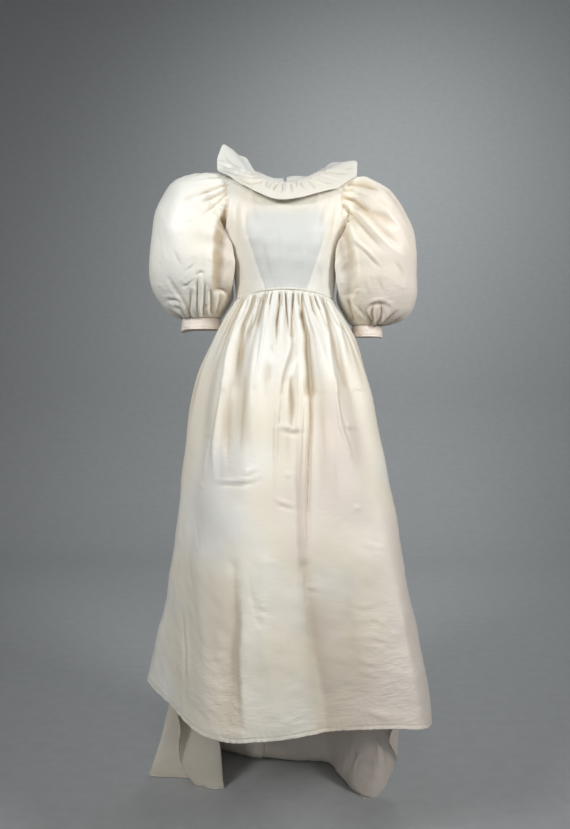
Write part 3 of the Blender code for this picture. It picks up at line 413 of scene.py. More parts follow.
def smallFinish(name, look):
    # finish of a small part: two near colours and a fine relief, drawn by one repeating pattern
    material, tree = newMaterial(name)
    place = addNode(tree, "ShaderNodeTexCoord").outputs["UV" if look["followsPart"] else "Object"]
    scaled = addNode(tree, "ShaderNodeVectorMath", {"operation": "MULTIPLY"}, {0: place, 1: look["repeats"]})
    pattern = addNode(tree, look["pattern"], None, {"Vector": scaled.outputs[0], "Scale": 1.0, "Detail": 1.5})
    uneven = addNode(tree, "ShaderNodeTexNoise", None, {"Vector": place, "Scale": 260.0, "Detail": 2.0})
    both = addNode(tree, "ShaderNodeMath", {"operation": "MULTIPLY_ADD"}, {0: uneven.outputs["Fac"], 1: 0.5,
                                                                          2: pattern.outputs["Fac"]})
    colour = addNode(tree, "ShaderNodeValToRGB", None, {0: both.outputs[0]}, [
        (0.35, linearColour(look["low"])), (1.05, linearColour(look["high"]))])
    gloss = addNode(tree, "ShaderNodeMapRange", None, {0: uneven.outputs["Fac"], 1: 0.3, 2: 0.7,
                                                       3: look["roughness"] - 0.05, 4: look["roughness"] + 0.07})
    relief = addNode(tree, "ShaderNodeBump", None, {"Strength": 0.8, "Distance": look["relief"] * 0.001,
                                                    "Height": pattern.outputs["Fac"]})
    shader = addNode(tree, "ShaderNodeBsdfPrincipled", None, {
        "Base Color": colour.outputs[0], "Roughness": gloss.outputs[0], "Sheen Weight": look["sheen"],
        "Sheen Roughness": 0.4, "Coat Weight": look["coat"], "Coat Roughness": 0.15, "Normal": relief.outputs[0]})
    addNode(tree, "ShaderNodeOutputMaterial", None, {0: shader.outputs[0]})
    return material


# woven polyester zip tape: matt, with fine ribs along it, 0.6 mm apart
polyesterTape = smallFinish("woven_polyester_tape", {
    "low": "#DCD3C0", "high": "#EFE9DA", "repeats": (1700.0, 260.0, 1.0), "pattern": "ShaderNodeTexWave",
    "followsPart": True, "roughness": 0.62, "relief": 0.12, "sheen": 0.15, "coat": 0.0})
# monofilament coil: smooth and faintly waxy
coilPolyester = smallFinish("polyester_coil", {
    "low": "#E4DCCB", "high": "#F3EEE2", "repeats": (900.0, 900.0, 900.0), "pattern": "ShaderNodeTexNoise",
    "followsPart": False, "roughness": 0.32, "relief": 0.02, "sheen": 0.0, "coat": 0.2})
# ivory enamel baked on die-cast zinc: satin, with a slight orange peel at 0.5 mm
enamelledZinc = smallFinish("ivory_enamel_on_zinc", {
    "low": "#DDD5C3", "high": "#EDE7D8", "repeats": (2000.0, 2000.0, 2000.0), "pattern": "ShaderNodeTexNoise",
    "followsPart": False, "roughness": 0.30, "relief": 0.03, "sheen": 0.0, "coat": 0.5})
# spun polyester sewing thread: its twist is too fine to show, so it is drawn at 0.4 mm
sewingThread = smallFinish("spun_polyester_thread", {
    "low": "#D9CFBC", "high": "#F4EEDF", "repeats": (2500.0, 2500.0, 2500.0), "pattern": "ShaderNodeTexNoise",
    "followsPart": False, "roughness": 0.55, "relief": 0.05, "sheen": 0.2, "coat": 0.0})
# loop cord covered in buttonhole thread, its turns 0.5 mm apart along the cord
coveredCord = smallFinish("thread_covered_cord", {
    "low": "#CFC4AE", "high": "#EFE7D6", "repeats": (6.0, 1000.0, 1.0), "pattern": "ShaderNodeTexWave",
    "followsPart": True, "roughness": 0.58, "relief": 0.14, "sheen": 0.2, "coat": 0.0})
print("materials made")


# the forms of the dress, from the same sizes as its solids

form = {
    "shoulderY": 0.012, "neckHalf": 0.073, "neckFront": 0.074, "neckBack": 0.056,
    "neckDropFront": 0.037, "neckDropBack": 0.018, "shoulderTipX": 0.112, "shoulderTipDrop": 0.007,
    "underarmZ": -0.150, "waistZFront": -0.256, "waistZSide": -0.272, "waistZBack": -0.266,
    "neckShare": 0.66,
}
torso = {
    "z": (0.0, -0.006, -0.020, -0.037, -0.070, -0.110, -0.150, -0.190, -0.230, -0.275),
    "half": (0.235, 0.230, 0.220, 0.205, 0.180, 0.155, 0.132, 0.117, 0.108, 0.104),
    "front": (0.0, 0.030, 0.059, 0.078, 0.096, 0.108, 0.112, 0.106, 0.095, 0.089),
    "back": (0.0, 0.030, 0.056, 0.069, 0.085, 0.094, 0.095, 0.090, 0.085, 0.086),
}
armhole = {
    "z": (-0.007, -0.040, -0.080, -0.110, -0.130, -0.143, -0.150),
    "x": (0.112, 0.1135, 0.1150, 0.1175, 0.1225, 0.1280, 0.132),
}
skirtForm = {
    "z": (-0.256, -0.280, -0.310, -0.350, -0.410, -0.470, -0.515, -0.620, -0.740, -0.860,
          -0.950, -1.035, -1.105, -1.250, -1.468),
    "left": (0.103, 0.111, 0.130, 0.151, 0.178, 0.194, 0.203, 0.217, 0.233, 0.255,
             0.271, 0.292, 0.311, 0.320, 0.330),
    "right": (0.103, 0.108, 0.126, 0.151, 0.172, 0.188, 0.197, 0.219, 0.242, 0.263,
              0.281, 0.296, 0.305, 0.305, 0.300),
    "front": (0.088, 0.100, 0.118, 0.136, 0.156, 0.172, 0.182, 0.203, 0.225, 0.245,
              0.259, 0.272, 0.283, 0.290, 0.300),
    "back": (0.086, 0.104, 0.128, 0.152, 0.178, 0.194, 0.202, 0.216, 0.226, 0.233,
             0.238, 0.241, 0.243, 0.246, 0.250),
}
# one row for each bend or fold of the hem: turn from the front, place, train on the floor
hemTable = columnsOf((
    (-176, -85, 245, -1468, 280), (-171, -140, 272, -1468, 230), (-166, -215, 290, -1468, 150),
    (-160, -300, 262, -1468, 60), (-154, -350, 212, -1468, 0), (-147, -262, 203, -1468, 0),
    (-140, -182, 187, -1468, 0), (-134, -151, 156, -1468, 0), (-128, -188, 153, -1468, 0),
    (-121, -228, 170, -1466, 0), (-114, -257, 188, -1440, 0), (-107, -266, 165, -1370, 0),
    (-100, -257, 130, -1290, 0), (-93, -268, 82, -1210, 0), (-86, -303, 20, -1140, 0), (-78, -304, -34, -1102, 0),
    (-68, -278, -80, -1100, 0), (-57, -238, -142, -1100, 0), (-46, -198, -208, -1100, 0),
    (-35, -153, -266, -1100, 0), (-24, -103, -294, -1100, 0), (-12, -53, -291, -1100, 0), (0, -3, -282, -1100, 0),
    (11, 51, -265, -1100, 0), (22, 106, -250, -1100, 0), (33, 160, -244, -1100, 0), (44, 214, -243, -1100, 0),
    (54, 262, -238, -1103, 0), (63, 287, -200, -1114, 0), (74, 297, -125, -1130, 0), (85, 297, -40, -1165, 0),
    (95, 270, 45, -1230, 0), (104, 252, 100, -1310, 0), (112, 273, 125, -1375, 0), (120, 247, 125, -1445, 0),
    (128, 214, 118, -1468, 0), (135, 174, 132, -1468, 30), (142, 137, 166, -1468, 120), (150, 104, 212, -1468, 220),
    (160, 56, 228, -1468, 280), (172, -10, 234, -1468, 300), (184, -85, 245, -1468, 280),
), ("turn", "x", "y", "z", "train"))
# soft folds that fall from the waist: turn at the waist and lower down, half width in degrees,
# depth, and where along the drop each starts, is deepest and ends
falls = (
    (13, 11, 7, -0.017, 0.03, 0.20, 0.62), (-5, -3, 6, 0.006, 0.03, 0.16, 0.45),
    (-21, -19, 7, 0.009, 0.03, 0.18, 0.60), (-31, -30, 5, -0.006, 0.04, 0.18, 0.50),
    (-43, -42, 7, 0.008, 0.04, 0.20, 0.70), (-60, -58, 8, -0.007, 0.05, 0.25, 0.70),
    (22, 37, 7, 0.010, 0.03, 0.20, 0.55), (44, 52, 7, -0.007, 0.05, 0.24, 0.60),
    (62, 66, 8, 0.007, 0.05, 0.25, 0.75), (84, 84, 8, -0.006, 0.05, 0.25, 0.70),
    (-80, -78, 8, 0.007, 0.05, 0.25, 0.70), (108, 106, 8, 0.010, 0.04, 0.30, 0.90),
    (124, 122, 7, -0.011, 0.04, 0.28, 0.90), (143, 141, 8, 0.012, 0.04, 0.30, 0.95),
    (159, 158, 7, -0.010, 0.04, 0.26, 0.90), (-101, -99, 8, -0.008, 0.04, 0.28, 0.80),
    (-119, -118, 8, 0.012, 0.04, 0.30, 0.90), (-137, -136, 7, -0.011, 0.04, 0.28, 0.90),
    (-156, -155, 8, 0.012, 0.04, 0.26, 0.90),
)
trainBend = 0.085
bendShares = (0.780, 0.870)
sideSign = {"left": -1.0, "right": 1.0}
sleeveColumns = ("along", "outerX", "outerZ", "innerX", "innerZ", "midY", "depth", "swell")
sleeveTables = {
    "left": columnsOf((
        (0.1, 148, 4, 143, -151, 6, 64, 10), (0.22, 196, -3, 138, -168, 4, 84, 28),
        (0.36, 243, -25, 130, -190, 2, 98, 44), (0.5, 274, -81, 121, -212, 4, 105, 48),
        (0.64, 290, -155, 116, -230, 10, 106, 44), (0.76, 294, -215, 113, -246, 18, 102, 34),
        (0.87, 285, -257, 115, -265, 28, 90, 18), (0.95, 254, -296, 131, -292, 34, 67, 4),
        (1, 224, -306, 146, -306, 36, 41, 0),
    ), sleeveColumns),
    "right": columnsOf((
        (0.1, 147, -4, 143, -151, 6, 64, 10), (0.22, 186, -16, 138, -168, 4, 84, 28),
        (0.36, 228, -42, 130, -192, 2, 98, 44), (0.5, 260, -89, 121, -216, 4, 105, 48),
        (0.64, 282, -150, 116, -236, 10, 106, 44), (0.76, 286, -210, 113, -256, 18, 103, 34),
        (0.87, 287, -267, 118, -278, 28, 94, 18), (0.95, 265, -308, 137, -309, 34, 70, 4),
        (1, 211, -322, 153, -322, 36, 38, 0),
    ), sleeveColumns),
}
# deep folds: turn round the sleeve, half width, depth, start and end along it
sleeveFolds = {
    "left": (
        (248, 15, -0.011, 0.10, 0.86),
        (292, 20, 0.004, 0.15, 0.80),
        (60, 20, -0.006, 0.20, 0.90),
        (120, 16, -0.008, 0.10, 0.80),
    ),
    "right": (
        (244, 14, -0.010, 0.06, 0.90),
        (300, 16, 0.005, 0.08, 0.62),
        (330, 12, -0.006, 0.15, 0.60),
        (60, 20, -0.006, 0.20, 0.90),
        (118, 16, -0.008, 0.10, 0.80),
    ),
}
ruffleTable = columnsOf((
    (-178, -4, 118, 20), (-160, -50, 118, 26), (-150, -67.6, 108, 31.7), (-138, -79.5, 96, 41.9),
    (-128, -89.9, 78.7, 52.9), (-116, -107.5, 58, 60.3), (-108, -122.4, 37.4, 64.1), (-102, -134.2, 22, 66.6),
    (-96, -140.5, 10, 48.9), (-91, -144.8, 0, 31.3), (-85, -144.2, -12, 14.3), (-80, -141.3, -22, -0.8),
    (-74, -130.6, -36, -9.3), (-68, -118, -50, -17.7), (-62, -106.8, -62, -27.8), (-55, -94.6, -76, -39.4),
    (-46, -78.9, -85.5, -48.9), (-38, -64.4, -94, -58.6), (-29, -49.1, -98.5, -66.3), (-20, -35, -103, -73.7),
    (-10, -19, -105, -78.7), (0, 0, -107, -80.1), (10, 18, -105, -77.7), (20, 38, -103, -73.7),
    (29, 54.2, -96.5, -67.6), (38, 71.6, -90, -61.7), (47, 90.4, -80, -54.7), (56, 108.4, -70, -48.5),
    (63, 120.5, -59, -38.1), (70, 133.8, -48, -26.6), (76, 147.5, -34.8, -17), (80, 151.2, -26, -10.2),
    (86, 153, -12, 8.1), (92, 153.6, 2, 24.5), (104, 137.5, 32, 32.6), (114, 117.4, 55.4, 37.1),
    (126, 98.7, 75.7, 37.5), (138, 88.6, 96, 33.9), (150, 71, 108, 27), (160, 50, 118, 24), (178, 4, 118, 20),
), ("turn", "x", "y", "z"))


def sineOf(turn):
    return np.sin(np.radians(turn))


def cosineOf(turn):
    return np.cos(np.radians(turn))


def waistZ(turn):
    lean = cosineOf(turn)
    middle = np.where(lean > 0, form["waistZFront"], form["waistZBack"])
    return form["waistZSide"] + (middle - form["waistZSide"]) * lean * lean


def neckPoints(turn):
    lean = cosineOf(turn)
    reach = np.where(lean > 0, form["neckFront"], form["neckBack"])
    drop = np.where(lean > 0, form["neckDropFront"], form["neckDropBack"])
    return spot(form["neckHalf"] * sineOf(turn), form["shoulderY"] - reach * lean, -drop * lean * lean)


def torsoPoints(x, z, front):
    beyond = np.maximum(0.0, np.abs(x) - form["neckHalf"])
    dropOut = form["shoulderTipDrop"] * beyond / (form["shoulderTipX"] - form["neckHalf"])
    level = np.minimum(0.0, z + dropOut * ease(z, form["underarmZ"], -0.02))
    half = smoothAt(torso["z"], torso["half"], level)
    depth = np.where(front, smoothAt(torso["z"], torso["front"], level), smoothAt(torso["z"], torso["back"], level))
    across = np.minimum(1.0, np.abs(x) / half)
    axisY = form["shoulderY"] * ease(z, form["waistZSide"], -0.05)
    out = depth * np.sqrt(np.maximum(0.0, 1.0 - across ** 2.2))
    return spot(x, np.where(front, axisY - out, axisY + out), z)


def armholeX(z):
    low = smoothAt(torso["z"], torso["half"], z)
    high = smoothAt(armhole["z"], armhole["x"], np.clip(z, form["underarmZ"], -form["shoulderTipDrop"]))
    return np.where(z <= form["underarmZ"], low, high)


def bodicePoints(side, level, front):
    # side runs from 0 at the centre to 1 at the side and armhole; level from 0 at the waist, past
    # 1 at the underarm, to 2 at the neck and shoulder
    reach, sign = np.abs(side), np.where(side < 0, -1.0, 1.0)
    turn = reach * 90.0 if front else 180.0 - reach * 90.0
    lean = reach / form["neckShare"] * 90.0
    onNeck = neckPoints(lean if front else 180.0 - lean)
    part = (reach - form["neckShare"]) / (1.0 - form["neckShare"])
    onShoulder = spot(form["neckHalf"] + (form["shoulderTipX"] - form["neckHalf"]) * part,
                      form["shoulderY"], -form["shoulderTipDrop"] * part)
    byNeck = reach <= form["neckShare"]
    top = np.where(byNeck[..., None], onNeck, onShoulder)
    footZ = waistZ(turn)
    underarm = form["underarmZ"]
    low = np.clip(level, 0.0, 1.0)
    high = np.clip(level - 1.0, 0.0, 1.0)
    z = footZ + (underarm - footZ) * low + (top[..., 2] - underarm) * high
    edge = armholeX(z)
    roundX = sineOf(90.0 * reach)
    xChest = edge * roundX
    xYoke = edge * (roundX + (reach - roundX) * ease(high, 0.0, 0.45))
    xYoke = xYoke + (top[..., 0] - edge * reach) * high ** 3
    points = torsoPoints(np.where(level <= 1.0, xChest, xYoke), z, front)
    settled = torsoPoints(top[..., 0], top[..., 2], front)
    points = points + np.where(byNeck[..., None], (top - settled) * (high ** 3)[..., None], 0.0)
    atTop = (high >= 1.0)[..., None]
    points = np.where(atTop, np.broadcast_to(top, points.shape), points)
    return points * np.stack([sign, np.ones_like(sign), np.ones_like(sign)], -1)


def skirtPlain(turn, z):
    wide = np.where(sineOf(turn) > 0, smoothAt(skirtForm["z"], skirtForm["right"], z),
                    smoothAt(skirtForm["z"], skirtForm["left"], z))
    deep = np.where(cosineOf(turn) > 0, smoothAt(skirtForm["z"], skirtForm["front"], z),
                    smoothAt(skirtForm["z"], skirtForm["back"], z))
    return spot(wide * sineOf(turn), -deep * cosineOf(turn), z)


def trainPath(share, topZ, drop, train):
    # height, and reach along the floor, for a share of the way from waist to hem
    bend = np.minimum(trainBend, 0.5 * train)
    low, high = bendShares
    bent = ease(train, 0.0, 0.16)
    start = low * drop + (drop - bend - low * drop) * bent
    end = high * (drop + train) + (drop + bend - high * (drop + train)) * bent
    along = np.where(share <= low, start * share / low, np.where(
        share <= high, start + (end - start) * (share - low) / (high - low),
        end + (drop + train - end) * (share - high) / (1.0 - high)))
    straight = (along <= drop - bend) | (bend <= 0.0)
    part = np.clip((along - drop + bend) / np.maximum(2.0 * bend, 1e-9), 0.0, 1.0)
    z = np.where(straight, topZ - np.minimum(along, drop), topZ - drop + bend * (1.0 - part) ** 2)
    out = np.where(straight, np.maximum(0.0, along - drop),
                   bend * part * part + np.maximum(0.0, along - drop - bend))
    return z, out


def hemAt(turn):
    # across, back, up and train on the floor
    onTable = np.where(turn < hemTable["turn"][0], turn + 360.0, turn)
    x, y, z, train = (smoothAt(hemTable["turn"], hemTable[key], onTable) for key in ("x", "y", "z", "train"))
    return x, y, np.maximum(floorZ, z), np.maximum(0.0, train)


def skirtPoints(turn, share, lift=0.0):
    # turn round the waist, share of the way down, and gather height
    turn = signedTurn(turn)
    hemX, hemY, hemZ, train = hemAt(turn)
    topZ = waistZ(turn)
    drop = topZ - hemZ
    z, out = trainPath(share, topZ, drop, train)
    fall = (topZ - z) / drop
    foot = skirtPlain(turn, hemZ)
    shift = spot(hemX - foot[..., 0], hemY - foot[..., 1], 0.0)
    point = skirtPlain(turn, z) + shift * (fall ** 1.7)[..., None]
    away = unit(spot(point[..., 0] * 0.55, 0.30, 0.0))
    point = point + away * out[..., None]
    depth = np.asarray(lift, float) + np.zeros(point.shape[:-1])
    for turnHigh, turnLow, spread, height, start, deepest, end in falls:
        middle = turnHigh + (turnLow - turnHigh) * ease(share, 0.0, 0.5)
        depth = depth + height * bell(signedTurn(turn - middle), spread) * humpOver(share, start, deepest, end)
    return point + spot(sineOf(turn), -cosineOf(turn), 0.0) * depth[..., None]


def skirtLength(turn):
    _, _, hemZ, train = hemAt(signedTurn(turn))
    return waistZ(turn) - hemZ + train


def armholePoints(turn, sign, inboard=0.0):
    # the armhole edge: turn 0 at the shoulder tip, 90 at the back, 180 at the underarm
    low, high = form["underarmZ"], -form["shoulderTipDrop"]
    z = (low + high) / 2 + (high - low) / 2 * cosineOf(turn)
    points = torsoPoints(armholeX(z) - inboard, z, sineOf(turn) < 0)
    atTip = (np.abs(sineOf(turn)) < 1e-6) & (cosineOf(turn) > 0)
    points[..., 1] = np.where(atTip, form["shoulderY"], points[..., 1])
    return points * np.array([sign, 1.0, 1.0])


def sleevePoints(turn, along, side, lift=0.0):
    # turn round the sleeve from its top, share of the way to the cuff
    sign = sideSign[side]
    table = sleeveTables[side]
    row = {key: smoothAt(table["along"], table[key], np.maximum(table["along"][0], along))
           for key in sleeveColumns[1:]}
    outer = spot(row["outerX"], row["midY"], row["outerZ"])
    inner = spot(row["innerX"], row["midY"], row["innerZ"])
    middle = (outer + inner) / 2
    ring = middle + (outer - inner) / 2 * cosineOf(turn)[..., None]
    ring[..., 1] += row["depth"] * sineOf(turn)
    ring[..., 0] -= row["swell"] * bell(turn - 236.0, 26.0)
    ring = ring * np.array([sign, 1.0, 1.0])
    start = armholePoints(turn, sign) + np.array([sign * 0.0014, 0.0, 0.0])
    part = ease(along, 0.0, table["along"][0] * 1.5)[..., None]
    point = start * (1.0 - part) + ring * part
    out = unit(ring - middle * np.array([sign, 1.0, 1.0]))
    depth = np.asarray(lift, float) + np.zeros(point.shape[:-1])
    for foldTurn, spread, height, startAlong, endAlong in sleeveFolds[side]:
        hump = humpOver(along, startAlong, (startAlong + endAlong) / 2, endAlong)
        depth = depth + height * bell(signedTurn(turn - foldTurn), spread) * hump
    return point + out * depth[..., None]


def rufflePoints(turn, out, lift=0.0):
    # turn round the neck, share of the way to the ruffle's outer edge
    root = neckPoints(turn)
    away = unit(spot(root[..., 0], root[..., 1] - form["shoulderY"], 0.0))
    root = root + np.array([0.0, 0.0, 0.0028]) + away * 0.0006
    edge = spot(*(smoothAt(ruffleTable["turn"], ruffleTable[key], turn) for key in ("x", "y", "z")))
    point = root + (edge - root) * out[..., None]
    rise = np.array([0.0, 0.0, 0.0075]) + away * 0.00375
    point = point + rise * ((4.0 * out * (1.0 - out)) ** 0.7)[..., None]
    along = unit(edge - root)
    normal = unit(np.cross(along, spot(-away[..., 1], away[..., 0], 0.0)))
    broad = np.sin(np.radians(turn) * 13.0 + 0.9 * np.sin(np.radians(turn) * 3.0))
    depth = np.asarray(lift, float) + 0.0028 * broad * ease(out, 0.1, 1.0) * ease(np.abs(turn), 100.0, 125.0)
    return point + normal * depth[..., None], normal


# making cloth out of grids of points

def clothObject(name, points, flat, marks, material, wall=clothWall, closed=False, outside=1):
    # points and flat, each point's place on the flat cloth in metres, are columns by rows;
    # marks are point attributes that the material reads, each a value or values that spread over
    # the grid; a closed grid has one more flat column
    columns, rows = points.shape[:2]
    spans = columns if closed else columns - 1
    i, j = np.meshgrid(np.arange(spans), np.arange(rows - 1), indexing="ij")
    after = (i + 1) % columns
    corners = np.stack([i * rows + j, i * rows + j + 1, after * rows + j + 1, after * rows + j], -1).reshape(-1, 4)
    flatCorners = np.stack([flat[i, j], flat[i, j + 1], flat[i + 1, j + 1], flat[i + 1, j]], -2).reshape(-1, 4, 2)
    if outside < 0:
        corners, flatCorners = corners[:, ::-1], flatCorners[:, ::-1]
    mesh = bpy.data.meshes.new(name)
    mesh.from_pydata(points.reshape(-1, 3).tolist(), [], corners.tolist())
    mesh.uv_layers.new(name="cloth").data.foreach_set("uv", flatCorners.astype(np.float32).ravel())
    for key, values in marks.items():
        layer = mesh.attributes.new(key, "FLOAT", "POINT")
        layer.data.foreach_set("value", np.broadcast_to(values, (columns, rows)).astype(np.float32).ravel())
    mesh.materials.append(material)
    mesh.shade_smooth()
    piece = inScene(name, mesh)
    if wall:
        shell = piece.modifiers.new("wall", "SOLIDIFY")
        shell.thickness = wall
        shell.offset = 0.0
    return piece


def arcAlong(points, axis):
    # running length along the columns or the rows of a grid
    steps = np.linalg.norm(np.diff(points, axis=axis), axis=-1)
    zero = np.zeros_like(np.take(steps, [0], axis=axis))
    return np.concatenate([zero, np.cumsum(steps, axis=axis)], axis=axis)


stitchRuns = []      # lines of points along which there are stitches


# skirt: three panels gathered into the waist

skirtLook = {
    "gathers": 48, "gatherDepth": 0.0050, "gatherWidth": 1.05, "gatherRuns": (0.10, 0.19, 0.13, 0.25, 0.09, 0.16, 0.22),
    # the hem's fold and its stitches, up from the edge
    "hemFold": 0.0066, "stitchUp": 0.0068,
    "hemRows": (0.014, 0.0105, 0.0085, 0.0072, 0.0062, 0.0048, 0.0030, 0.0014, 0.0),
    "rows": 168, "waistRows": (0.0, 0.0012, 0.003, 0.006, 0.010, 0.015, 0.021, 0.028),
    "tuckUp": 0.005, "tuckIn": 0.0042, "seamGroove": 0.0007, "frontCalm": 0.55, "tracedScale": 1.5, "puff": 0.0017,
}
gatherChance = np.random.RandomState(14)
gatherTable = [(7.5 * n + gatherChance.uniform(-1.5, 1.5), gatherChance.uniform(0.55, 1.25),
                skirtLook["gatherRuns"][n % 7] * gatherChance.uniform(0.8, 1.9), gatherChance.uniform(-2.6, 2.6),
                gatherChance.uniform(0.8, 1.3)) for n in range(skirtLook["gathers"])]


def gatherLift(turn, drop):
    lift = np.zeros(np.broadcast(turn, drop).shape)
    for centre, strength, run, drift, breadth in gatherTable:
        middle = centre + drift * ease(drop, 0.0, 0.5)
        width = skirtLook["gatherWidth"] * breadth * (1.0 + 2.6 * ease(drop, 0.0, run))
        apart = signedTurn(turn - middle) / width
        fade = 1.0 - ease(drop, 0.25 * run, run)
        lift -= strength * np.exp(-np.abs(apart) ** 1.7) * fade
        # the rounded crest beside each valley
        beside = bell(signedTurn(turn - middle) - 3.6, 2.0 + 2.0 * ease(drop, 0.0, run))
        lift += 0.30 * strength * beside * fade
    return lift * skirtLook["gatherDepth"] * (0.30 + 0.70 * ease(drop, 0.0, 0.016))


# gathers, folds and creases of the skirt front, in the front view: see tracedLift and tracedSink
frontFolds = [
    (-4, 2.4, 5, 1, 0.3, -89, -269, -96, -291, -113, -322, -130, -369),
    (4.4, 2.4, 6, 1, 0.6, -72, -266, -89, -301, -104, -349, -116, -396, -122, -454),
    (-4.6, 2.4, 9, 1, 0.3, -64, -268, -71, -295, -85, -326, -89, -363, -93, -413, -95, -446),
    (-3.8, 2, 4, 1, 0, -51, -271, -54, -288, -62, -318, -72, -340, -76, -373),
    (2.6, 2, 3, 1, 0, -57, -270, -61, -291, -70, -317),
    (-3.4, 1.8, 4.5, 1, 0, -40, -264, -45, -287, -52, -316, -58, -347),
    (4, 2.2, 3.8, 1, 0.4, -31, -263, -39, -301, -44, -347, -50, -397, -58, -448),
    (-3.8, 1.7, 2, 1, 0, -35, -261, -37, -277, -41, -292),
    (2.4, 2, 4, 1, 0, -22, -263, -28, -289, -32, -313, -33, -334),
    (-5.6, 2.1, 3.2, 1, 0.1, -12, -263, -13, -289, -17, -317, -18, -351, -17, -369),
    (3.2, 1.9, 3.4, 1, 0, -4, -263, -2, -296, 1, -334, 4, -367),
    (2.4, 2.2, 2.6, 0.2, 0.2, -27, -370, -22, -376, -16, -382),
    (-6, 2.2, 3, 1, 0.8, 17, -264, 16, -296, 15, -327, 14, -351),
    (2.6, 1.8, 3, 1, 0.1, 21, -264, 18, -296, 19, -330, 21, -364),
    (-6, 2, 3, 1, 1, 36, -264, 35, -287, 34, -310),
    (3.2, 1.9, 4, 1, 0.2, 39, -265, 43, -294, 51, -322, 62, -347, 68, -374),
    (-3.8, 1.8, 2.6, 1, 0, 51, -267, 56, -290, 66, -316),
    (3.6, 2.2, 5, 1, 0.5, 65, -270, 76, -299, 85, -339, 88, -388, 95, -429, 101, -460),
    (-4.8, 2.2, 7, 1, 0.4, 79, -272, 86, -299, 93, -339, 103, -380, 111, -413, 120, -446),
    (3, 2.2, 4, 1, 0.3, 85, -275, 101, -297, 111, -318, 113, -345, 122, -371),
    (-3.4, 2, 3.6, 1, 0.2, 93, -278, 111, -313, 119, -334, 125, -352),
    (1.8, 8, 12, 0.2, 0.3, 65, -350, 71, -380, 75, -413, 77, -454),
    (-2.2, 6, 9, 0, 0.3, -32, -393, -35, -421, -38, -458),
    (-10.5, 2.6, 6.4, 0.7, 1, 34, -301, 38, -327, 43, -350, 43, -380, 46, -413, 48, -460),
    (-6.5, 4, 3.4, 0.6, 0, 47, -436, 49, -518, 46, -580, 45, -652, 44, -744, 41, -806),
    (4, 4, 5, 0.5, 0.2, -122, -439, -127, -482, -135, -531, -141, -578, -139, -629),
    (-2.2, 6, 9, 0.4, 0.1, -108, -450, -110, -496, -114, -553, -110, -615),
    (-2.6, 4, 5, 0.4, 0, -79, -438, -82, -481, -86, -532, -88, -585),
    (2.4, 7, 10, 0.3, 0.1, -50, -438, -56, -494, -61, -556, -55, -595),
    (-3.2, 2.8, 2.8, 0.1, 0.2, -140, -643, -119, -641, -89, -638, -66, -634, -47, -628),
    (3.6, 2.8, 2.8, 0.1, 0.2, -140, -636, -119, -635, -89, -632, -66, -628, -47, -621),
    (2, 4, 4, 0.1, 0.1, -83, -623, -66, -611, -48, -603),
    (-2, 2.2, 2.2, 0.2, 0.2, -164, -555, -155, -555, -147, -551),
    (1.6, 2.2, 2.2, 0.2, 0.2, -166, -551, -156, -551, -146, -547),
    (1.4, 3, 3, 0.2, 0.2, -150, -550, -159, -593, -163, -642),
    (2.4, 2.6, 2.4, 0.5, 0.2, -10, -438, -13, -480, -17, -528, -18, -606, -18, -666),
    (-2, 2.2, 2.2, 0.5, 0.2, -5, -438, -7, -480, -12, -528, -13, -606, -13, -663),
    (-4, 5, 4, 0.7, 0.4, 13, -438, 15, -472, 16, -501, 14, -522),
    (3.6, 2.4, 2.4, 0.2, 0.4, -17, -532, -7, -526, 13, -532, 33, -535),
    (-2.8, 2.6, 2.6, 0.2, 0.3, -7, -537, 10, -540, 33, -542),
    (2.6, 2.4, 2.4, 0.2, 0.3, -18, -665, -4, -671, 19, -677),
    (-2.2, 2.4, 2.4, 0.2, 0.3, -18, -671, -4, -677, 19, -683),
    (-1.6, 3.6, 3.6, 0.2, 0.2, 5, -539, 6, -578, 5, -611),
    (2.4, 3, 3, 0.5, 0.2, 33, -439, 35, -482, 30, -535, 27, -607, 24, -675),
    (3.4, 3, 2.6, 0.6, 0.2, 96, -438, 102, -481, 110, -533, 119, -559, 128, -590),
    (-2.4, 2.8, 2.6, 0.4, 0.2, 104, -439, 109, -482, 117, -530, 126, -556, 135, -588),
    (-1.8, 5, 7, 0.2, 0.1, 70, -467, 74, -552, 78, -664),
    (1.8, 7, 9, 0.2, 0.1, 84, -524, 90, -609, 98, -693),
    (-4.5, 10, 16, 0.3, 0.6, -98, -789, -95, -888, -98, -984, -108, -1064),
    (4, 16, 24, 0.4, 0.8, -38, -776, -38, -886, -29, -984, -7, -1072),
    (-6, 9, 20, 0.6, 0.7, 37, -790, 48, -880, 62, -994, 76, -1087),
    (-2.4, 14, 18, 0.2, 0.2, 122, -819, 133, -944, 156, -1080),
    (2.6, 12, 16, 0.3, 0.5, 215, -828, 236, -952, 256, -1073),
    (2.6, 14, 18, 0.3, 0.4, -167, -818, -157, -937, -144, -1043),
    (-1.36, 2.9, 2.9, 0.1, 0.2, -210, -908, -205, -962, -197, -1013, -187, -1050),
    (-1.24, 2.7, 2.7, 0.1, 0.1, 145, -935, 175, -940, 204, -954),
    (1.12, 2.9, 2.9, 0.1, 0.1, 149, -926, 178, -933, 205, -946),
    (-1.36, 2.7, 2.7, 0.1, 0.3, 147, -1073, 179, -1083, 214, -1092),
    (1.36, 3.1, 3.1, 0.1, 0.3, 147, -1063, 179, -1074, 220, -1084),
    (1.2, 3, 3, 0.1, 0.1, 39, -827, 51, -831, 64, -831),
    (-1.4, 3, 3, 0.1, 0.1, 37, -833, 51, -838, 65, -837),
    (1.8, 2.6, 2.6, 0.2, 0.1, 35, -795, 32, -812, 35, -830),
]
